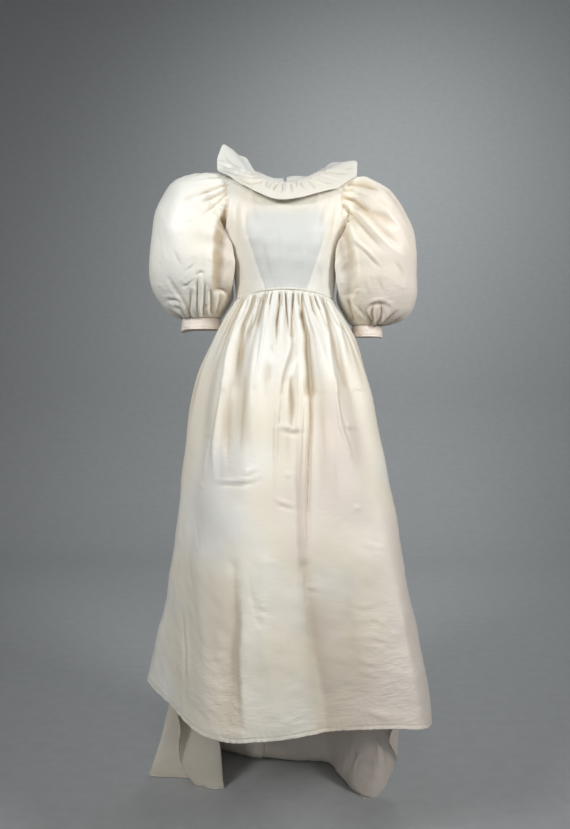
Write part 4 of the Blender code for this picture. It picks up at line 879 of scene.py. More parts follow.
frontFolds += alike((1.7, 2.2, 1, 0), [
    (-3.8, -26, -261, -29, -278, -33, -296), (-2.4, -8, -263, -7, -279, -9, -296), (2.4, 6, -264, 8, -282, 9, -303),
    (-3, 27, -264, 28, -278, 29, -294), (-3.4, 71, -270, 76, -282, 83, -292),
    (-2.6, -45, -265, -49, -278, -51, -288),
])
frontFolds += alike((1.9, 2.6, 1, 0), [
    (3.4, -17, -265, -16, -286, -20, -310, -22, -341, -21, -362),
    (-4.6, 1, -264, 2, -293, 4, -314, 7, -341, 6, -357), (-3.2, -79, -269, -86, -282, -91, -299),
])
frontFolds += alike((1.8, 2.4, 1, 0), [
    (-3.6, 60, -268, 68, -289, 77, -303), (2.2, 56, -268, 62, -288, 71, -307), (-3, -59, -269, -64, -284, -69, -298),
])
frontFolds += alike((2.4, 2.4, 0.2, 0.2), [
    (1.6, -174, -652, -167, -653, -160, -649), (1.8, -3, -616, 3, -618, 12, -619),
    (1.8, 117, -525, 129, -529, 144, -536), (-1.6, 118, -532, 131, -537, 144, -542),
    (1.8, 129, -449, 146, -454, 164, -456), (1.6, 132, -692, 141, -687, 151, -692),
])
frontFolds += alike((2.5, 2.5, 0.1, 0.1), [
    (0.99, -4, -882, 4, -937, 16, -999), (-0.99, -66, -864, -47, -868, -23, -871),
    (0.93, -64, -857, -46, -860, -24, -863), (-0.93, -59, -884, -47, -888, -30, -889),
    (0.74, -57, -898, -45, -903, -30, -903), (-1.12, 145, -903, 170, -906, 200, -919),
    (0.99, 148, -894, 172, -897, 202, -911), (-0.99, 133, -978, 157, -986, 180, -988),
    (0.87, 139, -970, 160, -978, 186, -980), (-0.99, 145, -1001, 174, -1009, 198, -1007),
    (-0.87, 122, -876, 152, -881, 182, -879), (0.87, 125, -868, 153, -873, 182, -871),
    (-0.99, -145, -996, -121, -993, -97, -984), (-0.99, -156, -975, -132, -969, -109, -959),
    (0.87, -153, -965, -130, -959, -109, -951), (-0.99, -138, -1020, -114, -1021, -91, -1015),
    (0.87, -135, -1011, -113, -1012, -91, -1007), (-0.87, -74, -1031, -52, -1036, -29, -1033),
])
frontFolds += alike((2.5, 2.5, 0.1, 0.2), [
    (1.24, -201, -906, -196, -957, -188, -1007, -178, -1039), (-0.87, -184, -1062, -160, -1066, -137, -1076),
    (0.87, -174, -1055, -149, -1060, -126, -1073), (-0.99, -113, -1070, -85, -1075, -51, -1083),
])
frontSteps = [
    (7, 7, 22, 0.4, 0.3, 13, -341, 10, -364, 7, -384, 1, -405, -6, -429, -11, -460),
    (-5, 9, 50, 0.2, 0.6, -80, -875, -82, -940, -80, -1004, -73, -1070),
]
# broad bands of painted shade, darker and rosier, where a second layer hangs away behind: as frontSteps,
# with how dark they are in place of the depth
frontShades = [
    (0.32, 10, 48, 0.2, 0.6, -130, -423, -131, -449, -131, -538, -132, -633),
    (0.34, 8, 44, 0.3, 0.3, 6, -434, 2, -461, 0, -496, 4, -528),
    (0.24, 14, 66, 0.3, 0.1, 55, -448, 56, -515, 58, -592, 59, -685),
    (0.46, 6, 34, 0.3, 0.4, 17, -530, 17, -610, 19, -703, 21, -824),
    (0.5, 18, 190, 0.4, 1, 28, -804, 34, -859, 40, -930, 61, -1010, 72, -1099),
    (-0.4, 9, 76, 0.1, 0.9, -74, -797, -78, -855, -80, -979, -72, -1104),
    (0.26, 6, 34, 0.3, 0.2, 117, -527, 123, -557, 132, -615),
    (0.3, 6, 26, 0.3, 0.3, -103, -369, -98, -409, -97, -448),
]
# where the front is most crumpled: middle, reach across and up in mm, and how much
crumpledSpots = (
    (185, -935, 38, 60, 0.42), (225, -1014, 45, 40, 0.36), (-150, -1000, 60, 45, 0.34), (120, -1050, 70, 35, 0.30),
    (-51, -869, 22, 30, 0.30), (-60, -1060, 90, 30, 0.24),
)
trainCreases = [
    (3, 5, 6, 0.4, 0.2, 234, -1308, 239, -1339, 244, -1371, 240, -1409),
    (-4, 4, 5, 0.4, 0.2, 224, -1312, 227, -1346, 227, -1377, 221, -1407),
    (-3, 4, 4, 0.2, 0.2, 201, -1351, 169, -1387, 143, -1468),
    (3, 5, 5, 0.2, 0.2, 208, -1363, 174, -1398, 146, -1468),
    (2, 8, 8, 0.2, 0.2, 215, -1400, 194, -1434, 173, -1467),
]

# creases on the skirt front, as they lie: from turn, share to turn, share, bow, half width and
# height in mm, sharpness
frontCreases = [
    (-13.5, 0.622, -0.3, 0.630, -5, 2.6, 1.3, 1.3), (-56.0, 0.560, -48.0, 0.612, 3, 4.0, -1.2, 1.5),
    (-60.0, 0.640, -52.0, 0.700, -3, 4.0, -1.0, 1.5), (-58.0, 0.765, -46.5, 0.950, 2, 3.2, -1.8, 1.4),
    (-56.5, 0.770, -44.5, 0.955, 2, 3.0, 1.2, 1.4), (29.5, 0.972, 45.0, 0.994, -3, 4.0, 2.0, 1.4),
    (28.0, 0.955, 50.0, 0.972, 4, 5.0, 1.6, 1.6), (-16.0, 0.700, -6.0, 0.735, 4, 4.0, -1.3, 1.4),
    (-18.0, 0.650, -13.0, 0.745, 3, 4.0, -1.1, 1.5), (10.0, 0.680, 19.0, 0.690, -2, 3.0, 1.0, 1.3),
    (40.0, 0.590, 52.0, 0.600, 2, 3.4, 1.1, 1.5),
]
frontZones = zonesOf([
    ((20, 52), (0.72, 0.96), (-12, 16), 70, (20, 60), (2.4, 4.6), (0.3, 0.84), 21),
    ((-44, 16), (0.8, 0.97), (-14, 14), 70, (16, 52), (2.2, 4.2), (0.24, 0.66), 22),
    ((-60, 60), (0.94, 0.992), (-35, 35), 90, (12, 34), (2.2, 3.6), (0.24, 0.6), 23),
    ((-80, 80), (0.2, 0.8), (-10, 10), 60, (14, 44), (2.4, 4.4), (0.15, 0.42), 24),
    ((-88, -50), (0.55, 0.95), (-30, 90), 34, (16, 50), (2.6, 4.6), (0.18, 0.54), 25),
    ((50, 88), (0.35, 0.95), (-20, 30), 40, (16, 50), (2.6, 4.6), (0.18, 0.54), 26),
])
backZones = zonesOf([
    ((92, 180), (0.12, 0.6), (-12, 12), 46, (16, 55), (3, 5), (0.22, 0.68), 31),
    ((92, 180), (0.6, 0.98), (-35, 35), 110, (18, 70), (3, 6), (0.38, 1.12), 32),
    ((120, 180), (0.7, 0.97), (40, 120), 30, (40, 110), (4, 8), (0.6, 1.8), 33),
])


def skirtPanel(name, turns, creases, zones, cutWidth):
    length = skirtLength(turns)
    # rows close together by the waist, even down to 18 mm from the hem, and close again in the hem
    main = np.concatenate([skirtLook["waistRows"], np.linspace(0.034, 1.0, skirtLook["rows"])])
    share = np.concatenate([main[None, :] * (1.0 - 0.018 / length[:, None]),
                            1.0 - np.array(skirtLook["hemRows"])[None, :] / length[:, None]], axis=1)
    turn = turns[:, None] + np.zeros_like(share)
    drop = share * length[:, None]
    calm = 1.0 - skirtLook["frontCalm"] * (1.0 - ease(np.abs(turn), 48.0, 66.0))
    gathers = gatherLift(turn, drop) * calm
    points = skirtPoints(turn, share, gathers)
    middle = np.argmin(np.abs(turns - turns.mean()))
    inFront = np.abs(turns).min() < 1.0
    alongHem = arcAlong(points, 0)
    down = arcAlong(points, 1)
    metresAColumn = (alongHem[-1, -1] - alongHem[0, -1]) / abs(turns[-1] - turns[0])
    rows = list(creases)
    for zone in zones:
        sized = dict(zone, metresAColumn=metresAColumn, metresARow=length[middle])
        if turns.mean() < -90.0:
            sized["columns"] = (-zone["columns"][1], -zone["columns"][0])
            sized["seed"] = zone["seed"] + 50
        rows += scatteredCreases(sized)
    lift = creaseLift(points, turns, share[middle], rows)
    lift = lift + skirtLook["puff"] * ease(drop, -0.001, 0.003) * (1.0 - 0.6 * ease(drop, 0.01, 0.05))
    if inFront:
        traced = tracedLift(points, frontFolds) * skirtLook["tracedScale"]
        traced = traced * (0.25 + 0.75 * ease(drop, 0.0, 0.009))
        traced = 0.013 * np.tanh(traced / 0.013)
        lift = lift + traced
        sink, wall = tracedSink(points, frontSteps)
        # painted shade in broad bands
        shade = np.clip(tracedSink(points, frontShades)[0] * 1000.0, 0.0, 1.0)
    else:
        traced = tracedLift(points, trainCreases) * (turn < 136.0) * (turn > 90.0)
        lift = lift + traced
        sink = wall = np.zeros_like(lift)
        # painted shade, darker towards the floor, where the train lies in shadow
        shade = 0.22 * ease(share, 0.60, 0.85)
    fromHem = (1.0 - share) * length[:, None]
    # soft unevenness, the turned hem with its stitched groove, and puckers that run into it
    seed = int(abs(turns[0]) * 3 + abs(turns[-1]))
    alongHem = alongHem[:, -1:]
    lift = lift + 0.0016 * undulation(alongHem, down, (0.10, 0.34), seed) * ease(share, 0.1, 0.5)
    lift = lift + 0.0004 * undulation(alongHem, down * 1.3, (0.03, 0.11), seed + 1) * ease(share, 0.3, 0.9)
    pucker = undulation(alongHem + 0.4 * fromHem, 0.15 * fromHem, (0.011, 0.026), seed + 2)
    lift = lift + 0.00105 * pucker * np.exp(-fromHem / 0.014)
    lift = lift + 0.00020 * (1.0 - ease(fromHem, 0.0058, 0.0075))
    groove = bell(fromHem - skirtLook["stitchUp"], 0.0011) * (1.0 + 0.5 * pucker)
    lift = lift - 0.00060 * groove
    side = np.minimum(turn - turns.min(), turns.max() - turn) * metresAColumn * (0.35 + 0.65 * share)
    lift = lift - skirtLook["seamGroove"] * bell(side, 0.0026)
    points = points - outwardOf(points) * lift[..., None]
    points[..., 1] += sink
    points[..., 2] = np.maximum(points[..., 2], floorZ)
    # the top is turned up inside the waist seam
    top = points[:, :1].copy()
    inward = levelUnit(top)
    top = top - inward * skirtLook["tuckIn"] + np.array([0.0, 0.0, skirtLook["tuckUp"]])
    first = points[:, :1] - inward * 0.0020 + np.array([0.0, 0.0, 0.0007])
    points = np.concatenate([top, first, points], axis=1)
    pad = np.zeros((len(turns), 2))
    down = np.concatenate([pad - skirtLook["tuckUp"], down], axis=1)
    fromHem = np.concatenate([pad + 1.0, fromHem], axis=1)
    share = np.concatenate([pad, share], axis=1)
    across = (turns - turns.min()) / (turns.max() - turns.min()) * cutWidth
    flat = np.stack([across[:, None] + np.zeros_like(down), down], -1)
    crumple = 0.14 + 0.14 * ease(share, 0.72, 0.92) + 0.25 * np.exp(-fromHem / 0.02)
    crumple = crumple * (0.6 + 0.4 * undulation(flat[..., 0], flat[..., 1], (0.12, 0.4), seed + 4))
    if inFront:
        for x, z, reachAcross, reachUp, strength in crumpledSpots:
            crumple = crumple + (strength * bell(points[..., 0] * 1000.0 - x, reachAcross)
                                 * bell(points[..., 2] * 1000.0 - z, reachUp))
    # painted shade in troughs and gathers, on the walls of folds and in the hem's stitched groove
    paintedCreaseShade = np.clip(np.clip(-traced / 0.0050, 0.0, 1.0) + np.clip(-gathers / 0.0045, 0.0, 0.8) + 0.6 * wall, 0.0, 1.0)
    paintedCreaseShade = paintedCreaseShade * (1.0 - 0.70 * ease(share[:, 2:], 0.24, 0.46)) + 0.35 * groove
    paintedCreaseShade, shade = (np.concatenate([mark[:, :1], mark[:, :1], mark], axis=1) for mark in (paintedCreaseShade, shade))
    below = np.maximum(down, 0.0)
    # painted grey shade, strongest below the waist, and painted light on the doubled hem
    marks = {"crumple": np.clip(crumple, 0.03, 1.2), "paintedGreyShade": 0.34 * np.exp(-below / 0.15),
             "gathered": np.exp(-below / 0.055) * 0.55 + 0.10 * np.exp(-below / 0.20),
             "paintedDoubledLight": 0.06 * (fromHem < skirtLook["hemFold"]), "paintedCreaseShade": paintedCreaseShade, "shade": shade}
    piece = clothObject(name, points, flat, marks, taffeta)
    print(name, points.shape, "mean length", round(float(length.mean()), 3))
    # the stitches lie on the outer face
    row = int(np.argmin(np.abs(fromHem[0] - skirtLook["stitchUp"])))
    stitchRuns.append(points[:, row] - outwardOf(points)[:, row] * (clothWall / 2 + 0.00005))
    return piece


skirtFront = skirtPanel("skirt_front_cloth", np.linspace(-90.0, 90.0, 241), frontCreases, frontZones, 1.02)
skirtBackRight = skirtPanel("skirt_back_right_cloth", np.linspace(90.0, 180.0, 171), [], backZones, 0.74)
skirtBackLeft = skirtPanel("skirt_back_left_cloth", np.linspace(-180.0, -90.0, 171), [], backZones, 0.78)
print("skirt made")


# bodice: a darted front, and two back halves with the zip between them

bodiceLook = {
    # metresAStep: roughly what 0 to 1 is on the bodice, from waist to underarm and from middle to side
    "lowRows": 34, "highRows": 34, "metresAStep": 0.12, "zipFold": 0.0105,
    # the single layer between the darts is painted grey, for the shade inside that shows through it, by height: from x,
    # to x
    "sheerPanel": ((-0.262, -0.036, 0.042), (-0.200, -0.060, 0.062), (-0.140, -0.078, 0.082), (-0.110, -0.077, 0.080),
                   (-0.075, -0.066, 0.070), (-0.060, -0.056, 0.060)),
    # each dart: apex, and its two ends at the waist, across and up
    "darts": (((-0.079, -0.138), (-0.038, -0.262), (-0.070, -0.262)),
              ((0.081, -0.148), (0.044, -0.262), (0.073, -0.262))),
}
# creases in the front view: see tracedLift
bodiceCreases = [
    (0.9, 3.2, 3.2, 0.1, 0.1, 80, -154, 89, -196, 94, -241),
    (-0.5, 5, 5, 0.1, 0.1, -47, -148, -39, -193, -26, -241),
    (0.5, 5, 5, 0.1, 0.1, 30, -149, 36, -189, 39, -237),
]
bodiceCreases += alike((3, 3, 0.1, 0.1), [
    (-0.9, 86, -69, 75, -104, 65, -143), (0.8, 95, -66, 86, -104, 76, -146), (-0.9, 107, -64, 100, -112, 91, -159),
    (-0.8, 93, -142, 105, -181, 101, -223), (-0.8, -102, -62, -98, -121, -91, -176),
    (0.8, -91, -70, -86, -124, -82, -170), (-0.8, -75, -82, -80, -117, -86, -152),
])
bodiceCreases += alike((3.4, 3.4, 0.1, 0.1), [
    (0.8, 109, -117, 96, -162, 84, -197), (-0.7, 67, -199, 74, -223, 78, -253),
    (0.7, -93, -175, -87, -213, -80, -251),
])
bodiceCreases += alike((4, 4, 0.1, 0.1), [
    (-0.6, -63, -79, -59, -103, -47, -124), (0.6, -46, -80, -34, -93, -10, -101), (-0.5, 10, -92, 30, -98, 55, -90),
    (0.5, -10, -107, -8, -159, -4, -214),
])
bodiceZones = zonesOf([
    ((0.7, 0.98), (0.05, 1.6), (60, 120), 14, (18, 46), (2.4, 4), (0.15, 0.45), 41),
    ((-0.98, -0.7), (0.05, 1.6), (60, 120), 14, (18, 46), (2.4, 4), (0.15, 0.45), 42),
    ((-0.6, 0.6), (0.05, 1.5), (-10, 190), 16, (16, 40), (3, 5), (0.08, 0.22), 43),
])


def sideOfLine(x, z, start, end):
    # over 0 on the left of the line from start to end in the front view, under 0 on its right
    return (end[0] - start[0]) * (z - start[1]) - (end[1] - start[1]) * (x - start[0])


def bodicePiece(name, sides, front, creases, zones):
    levels = np.concatenate([np.linspace(0.0, 1.0, bodiceLook["lowRows"]),
                             1.0 + np.linspace(0.0, 1.0, bodiceLook["highRows"])[1:]])
    side, level = gridOf(sides, levels)
    outside = 1 if front else -1
    points = bodicePoints(side, level, front)
    rows = []
    for zone in zones:
        rows += scatteredCreases(dict(zone, metresAColumn=0.13, metresARow=0.13))
    traced = 1.6 * tracedLift(points, creases)
    lift = 1.3 * creaseLift(points, sides, levels, rows) + traced
    x, z = points[..., 0], points[..., 2]
    flat = np.stack([arcAlong(points, 0), arcAlong(points, 1)], -1)
    fromWaist = level * bodiceLook["metresAStep"]
    lift = lift + 0.00045 * undulation(x, z, (0.03, 0.11), 61 if front else 62)
    # painted crease shade in the traced creases
    marks = {"crumple": 0.10 + 0.10 * ease(np.abs(side), 0.7, 0.95), "paintedGreyShade": np.zeros_like(x),
             "paintedDoubledLight": np.zeros_like(x), "paintedCreaseShade": 0.7 * np.clip(-traced / 0.003, 0.0, 1.0)}
    if front:
        # painted grey shade on the single layer between the darts, and painted light where the dart wedges double the
        # cloth
        heights, lefts, rights = zip(*bodiceLook["sheerPanel"])
        leftX, rightX = np.interp(z, heights, lefts), np.interp(z, heights, rights)
        soft = 0.0035 + 0.008 * ease(z, -0.17, -0.09)
        inside = ease(x, leftX - soft, leftX + soft) * (1.0 - ease(x, rightX - soft, rightX + soft))
        marks["paintedGreyShade"] = 0.22 + 0.62 * inside * (1.0 - ease(z, -0.115, -0.070))
        for apex, inner, outer in bodiceLook["darts"]:
            turned = 1.0 if apex[0] < 0 else -1.0
            one = sideOfLine(x, z, apex, inner) * turned
            other = sideOfLine(x, z, apex, outer) * -turned
            wedge = ease(one, -0.0001, 0.0002) * ease(other, -0.0001, 0.0002) * (z < apex[1])
            marks["paintedDoubledLight"] = np.maximum(marks["paintedDoubledLight"], 0.75 * wedge)
            seam = np.abs(sideOfLine(x, z, apex, inner)) / math.dist(apex, inner)
            lift = lift - 0.0009 * bell(seam, 0.0013) * (z < apex[1] - 0.002)
            lift = lift + 0.0006 * wedge
    else:
        # the cloth turned in beside the zip, painted lighter as doubled cloth, and its stitched line
        fromFold = np.abs(x) - bodiceLook["zipFold"]
        marks["paintedDoubledLight"] = 0.4 * (fromFold < 0.0)
        lift = lift + 0.0005 * (fromFold < 0.0) - 0.0004 * bell(fromFold, 0.0012)
    # the doubled seam allowances above the waist are painted lighter, and carry no painted grey shade
    marks["paintedDoubledLight"] = np.maximum(marks["paintedDoubledLight"], 0.8 * (1.0 - ease(fromWaist, 0.004, 0.0065)))
    marks["paintedGreyShade"] = marks["paintedGreyShade"] * ease(fromWaist, 0.004, 0.0065)
    toSide = (1.0 - np.abs(side)) * bodiceLook["metresAStep"]
    lift = lift - 0.0005 * bell(toSide, 0.002) * (level < 1.0)
    # its lower edge goes in behind the gathers
    lift = lift - 0.0016 * (1.0 - ease(fromWaist, 0.0, 0.0022))
    # the gathering below it puckers the seam
    pucker = undulation(x, z * 0.2, (0.008, 0.017), 63)
    lift = lift + 0.0006 * pucker * np.exp(-fromWaist / 0.010)
    points = points + outwardOf(points) * outside * lift[..., None]
    points[..., 0] += np.sign(side) * 0.0024 * (np.abs(side) > 0.999) * ease(level, 1.0, 1.08)
    return clothObject(name, points, flat, marks, taffeta, outside=outside), points


bodiceFront, _ = bodicePiece("bodice_front_cloth", np.linspace(-1.0, 1.0, 133), True, bodiceCreases, bodiceZones)
bodiceBackLeft, backLeftPoints = bodicePiece(
    "bodice_back_left_cloth", np.linspace(-1.0, 0.0, 67), False, [], bodiceZones[1:2])
bodiceBackRight, backRightPoints = bodicePiece(
    "bodice_back_right_cloth", np.linspace(0.0, 1.0, 67), False, [], bodiceZones[:1])
print("bodice made")


# sleeves: puffed, gathered into the armhole above and into the cuff below

sleeveLook = {
    "backColumns": 48, "frontColumns": 160, "rows": 146, "cutWidth": 0.62, "cutLength": 0.46,
    # for gatheredEnd at each end: count, depth, run along the sleeve, width in degrees
    "head": (30, 0.0034, (0.10, 0.42), 3.2), "cuff": (30, 0.0058, (0.05, 0.24), 2.9),
    "frontCalm": 0.72, "tracedScale": 1.3, "tuckIn": 0.0064, "tuckDown": 0.006, "seed": {"left": 70, "right": 80},
    # how strongly the main fold's wall, and the cloth past the fold, are painted in shade, by side
    "wallShadeStrength": {"left": 1.15, "right": 0.35}, "ridge": {"left": 0.55, "right": 0.7},
    "pastShade": {"left": 0.62, "right": 0.42},
}
# creases and steps on the front of each sleeve, in the front view: see tracedLift and tracedSink
leftSleeveCreases = [
    (-5, 2.2, 3.4, 1, 0, -118, -32, -142, -42, -170, -59, -187, -68),
    (2.6, 3, 5, 1, 0, -121, -41, -142, -51, -172, -69, -199, -83),
    (-4.5, 2, 3.6, 1, 0, -119, -44, -134, -55, -157, -70, -176, -82),
    (2.4, 2.2, 4, 1, 0, -122, -22, -143, -24, -169, -29, -189, -37),
    (-3.6, 2, 3.4, 1, 0, -121, -17, -141, -16, -165, -18),
    (-3.4, 2, 4, 1, 0, -116, -51, -134, -70, -151, -89, -170, -109),
    (3, 2.6, 6, 1, 0, -116, -59, -131, -76, -146, -94, -163, -119),
    (-2.2, 2.2, 3.6, 1, 0, -146, -3, -173, 0, -188, -21),
    (-1.5, 3, 4.6, 0.2, 0, -175, -55, -192, -69, -210, -80),
    (1.2, 3, 4.6, 0.2, 0, -175, -112, -186, -123, -198, -139),
    (-3.2, 3, 2.2, 0, 1, -245, -221, -229, -247, -215, -270, -207, -287, -207, -303),
    (2.2, 5, 3, 0, 1, -253, -223, -237, -251, -222, -274, -215, -287, -214, -302),
    (-2.6, 2.2, 2, 0.1, 0.3, -261, -275, -250, -272, -233, -273, -216, -279),
    (3.2, 4, 3.6, 0.1, 0.3, -257, -269, -247, -265, -230, -267, -215, -272),
    (1.8, 3.6, 3, 0.1, 0.3, -257, -283, -244, -280, -228, -282, -216, -286),
    (-4.2, 2, 2, 0.2, 1, -178, -224, -180, -240, -183, -265, -187, -300),
    (3.2, 3, 2.2, 0.1, 1, -172, -226, -171, -240, -176, -265, -179, -280, -183, -302),
    (-3.6, 2.4, 2.2, 0.2, 1, -167, -228, -165, -247, -169, -272, -175, -301),
    (-3.4, 2.2, 2.2, 0.6, 0.2, -178, -224, -172, -220, -166, -226),
    (2.6, 4, 2.4, 0, 1, -185, -240, -188, -255, -194, -280, -199, -303),
    (-3.4, 3, 2, 0, 1, -192, -248, -196, -267, -200, -285, -204, -303),
    (-4.4, 2.6, 2.2, 0.3, 1, -157, -247, -155, -269, -158, -297),
    (3.2, 3.6, 2.4, 0.2, 1, -160, -240, -162, -265, -165, -297),
    (2.4, 3.4, 2.2, 0.3, 1, -143, -254, -145, -274, -152, -296),
    (-3, 2.6, 2, 0.3, 1, -135, -257, -139, -276, -146, -296),
    (2, 3.4, 2.2, 0.3, 1, -127, -263, -133, -278, -142, -295),
    (-2.6, 2.2, 2.2, 0.4, 0.6, -177, -293, -168, -286, -160, -279),
    (-2.6, 3, 3, 0, 0.4, -217, -246, -204, -246, -190, -236),
    (1.8, 3.4, 3.4, 0, 0.3, -214, -240, -202, -241, -189, -231),
    (1.6, 2.2, 2.2, 0.2, 0.2, -204, -216, -195, -208, -187, -201),
    (-1.6, 2.2, 2.2, 0.2, 0.2, -201, -219, -192, -211, -183, -203),
    (-3.2, 2.4, 2.2, 0.1, 1, -255, -288, -240, -298, -226, -304),
    (2.4, 3, 2.4, 0.1, 1, -246, -286, -231, -295, -221, -301),
    (-3, 2.4, 2.2, 0, 1, -237, -286, -223, -292, -217, -302),
    (-1.2, 3.4, 3.4, 0.2, 0.2, -198, -124, -192, -123, -184, -121),
    (1.2, 4.4, 4.4, 0.1, 0.1, -256, -150, -247, -185, -236, -204),
    (-1.2, 4.4, 4.4, 0.1, 0.1, -226, -174, -218, -195, -209, -213),
    (1, 4, 4, 0.1, 0.1, -269, -72, -246, -115, -243, -142),
    (2.2, 5, 5, 0.3, 0.3, -158, -116, -161, -153, -163, -189, -162, -220),
    (-2.6, 2, 2.2, 0.6, 0.6, -142, -251, -132, -252, -124, -257, -120, -264),
    (2.4, 3, 3, 0.5, 0.5, -144, -256, -134, -256, -127, -262, -124, -269),
]
leftSleeveCreases += alike((2, 3, 1, 0.2), [
    (-3, -118, -48, -122, -53, -126, -57), (-3, -116, -56, -121, -61, -123, -65),
    (-3, -117, -36, -123, -39, -129, -41),
])
leftSleeveSteps = [
    (17, 17, 64, 0.35, 0.75, -116, -56, -131, -88, -140, -113, -146, -142, -148, -173, -150, -204, -154, -235,
     -156, -249),
]
rightSleeveCreases = [
    (-4.6, 2.2, 3.4, 1, 0, 115, -61, 143, -72, 164, -95, 182, -107),
    (4.6, 2.8, 6.5, 1, 0.15, 120, -73, 155, -110, 183, -142, 207, -165, 237, -186),
    (-2.6, 4, 9, 0.6, 0.1, 143, -84, 169, -108, 198, -142, 226, -163, 250, -178),
    (-3.6, 2.2, 5, 1, 0, 117, -81, 139, -103, 163, -141, 190, -171, 208, -187),
    (3.6, 2.4, 3.4, 1, 0, 116, -96, 129, -118, 142, -155, 166, -179, 186, -200, 209, -220),
    (-2.4, 2.2, 2.8, 0.2, 0, 152, -170, 170, -189, 188, -208, 200, -216),
    (3.4, 5, 5, 0.3, 0.1, 193, -79, 210, -103, 239, -138, 260, -173),
    (-3.6, 5, 11, 0.5, 0.1, 154, -82, 178, -100, 207, -115, 236, -137),
    (3.6, 2.2, 4, 1, 0.1, 119, -56, 140, -54, 160, -60, 193, -79),
    (-3.4, 2, 3, 1, 0, 117, -67, 135, -68, 154, -74),
    (4.6, 2, 2.2, 1, 0.3, 120, -43, 133, -44, 144, -49, 157, -56),
    (-4, 1.8, 2.2, 1, 0.3, 116, -49, 131, -51, 147, -55),
    (-4, 1.8, 2.2, 1, 0.4, 119, -37, 128, -39, 140, -42),
    (-6.5, 4, 6.5, 0.6, 0, 132, -31, 156, -34, 181, -46, 195, -58),
    (3, 2.6, 4, 0.8, 0.1, 123, -25, 148, -20, 180, -13, 202, -24),
    (-2.4, 3, 4, 0.1, 0.1, 179, -71, 199, -82, 214, -93),
    (-4.2, 2.6, 2.2, 0, 1, 134, -266, 138, -288, 147, -310),
    (3.8, 3, 2.6, 0.3, 1, 142, -276, 156, -297, 180, -318),
    (-4, 2.2, 2, 0.3, 1, 184, -285, 184, -301, 190, -318),
    (-4, 2.2, 2, 0.3, 1, 200, -283, 203, -298, 202, -319),
    (2.2, 2.6, 2, 0.2, 1, 214, -290, 212, -304, 207, -319),
    (-4.8, 2.6, 2, 0.3, 1, 236, -297, 219, -312, 208, -321),
    (2.6, 2.6, 2, 0.2, 1, 223, -292, 215, -308, 206, -319),
    (2.6, 2.8, 2, 0.2, 1, 175, -285, 179, -301, 188, -318),
    (2.8, 3, 3, 0.2, 0.2, 166, -290, 173, -281, 186, -275, 205, -275, 221, -283, 232, -292),
    (-3.2, 2.6, 2.6, 0.2, 0.2, 172, -295, 177, -287, 188, -282, 203, -282, 217, -289),
    (3, 2.4, 2.4, 0.5, 0.2, 205, -327, 229, -325, 251, -317, 270, -308),
    (-3.4, 2.2, 2.2, 0.5, 0.2, 203, -322, 225, -320, 243, -311, 257, -301),
]
rightSleeveCreases += alike((2.4, 2, 0.2, 1), [
    (-3.4, 150, -283, 166, -300, 186, -318), (2.6, 191, -283, 192, -301, 196, -319),
    (-3.4, 169, -291, 175, -303, 187, -318),
])
rightSleeveCreases += alike((4, 4, 0.1, 0.1), [
    (-1.6, 221, -198, 238, -214, 246, -236), (1.4, 165, -224, 172, -247, 179, -264),
    (-1.4, 189, -227, 196, -247, 209, -261), (1.2, 253, -230, 253, -253, 252, -276),
])
rightSleeveSteps = [
    (-13, 12, 50, 0.4, 0.5, 113, -97, 128, -122, 137, -163, 144, -209, 147, -238, 150, -256),
    (-8, 6, 24, 0.2, 0.8, 150, -256, 142, -269, 141, -277, 157, -300, 179, -318),
]
sleeveZones = zonesOf([
    ((196, 336), (0.72, 0.92), (20, 160), 30, (14, 34), (2.6, 4.6), (0.4, 1.2), 51),
    ((190, 350), (0.12, 0.74), (-40, 140), 44, (14, 48), (2.8, 5), (0.25, 0.8), 52),
    ((10, 190), (0.1, 0.92), (30, 150), 70, (18, 70), (3, 6), (0.4, 1.5), 53),
])


def gatheredEnd(turn, along, count, depth, run, width, seed, fromCuff):
    # valleys that fan out from a gathered edge, each of its own strength and length
    chance = np.random.RandomState(seed)
    lift = np.zeros(np.broadcast(turn, along).shape)
    distance = (1.0 - along) if fromCuff else along
    step = 360.0 / count
    for n in range(count):
        centre = step * (n + chance.uniform(-0.28, 0.28))
        reach = chance.uniform(*run)
        strength = chance.uniform(0.5, 1.2)
        if not fromCuff:
            strength *= 0.30 + 0.70 * (0.5 + 0.5 * math.cos(math.radians(centre)))
        drift = chance.uniform(-6.0, 6.0)
        apart = signedTurn(turn - centre - drift * distance / run[1])
        breadth = width * chance.uniform(0.8, 1.25) * (1.0 + 1.6 * ease(distance, 0.0, reach))
        fade = 1.0 - ease(distance, 0.15 * reach, reach)
        lift -= strength * np.exp(-np.abs(apart / breadth) ** 1.6) * fade
        lift += 0.32 * strength * bell(apart - step * 0.5, breadth * 1.2) * fade
    return lift * depth


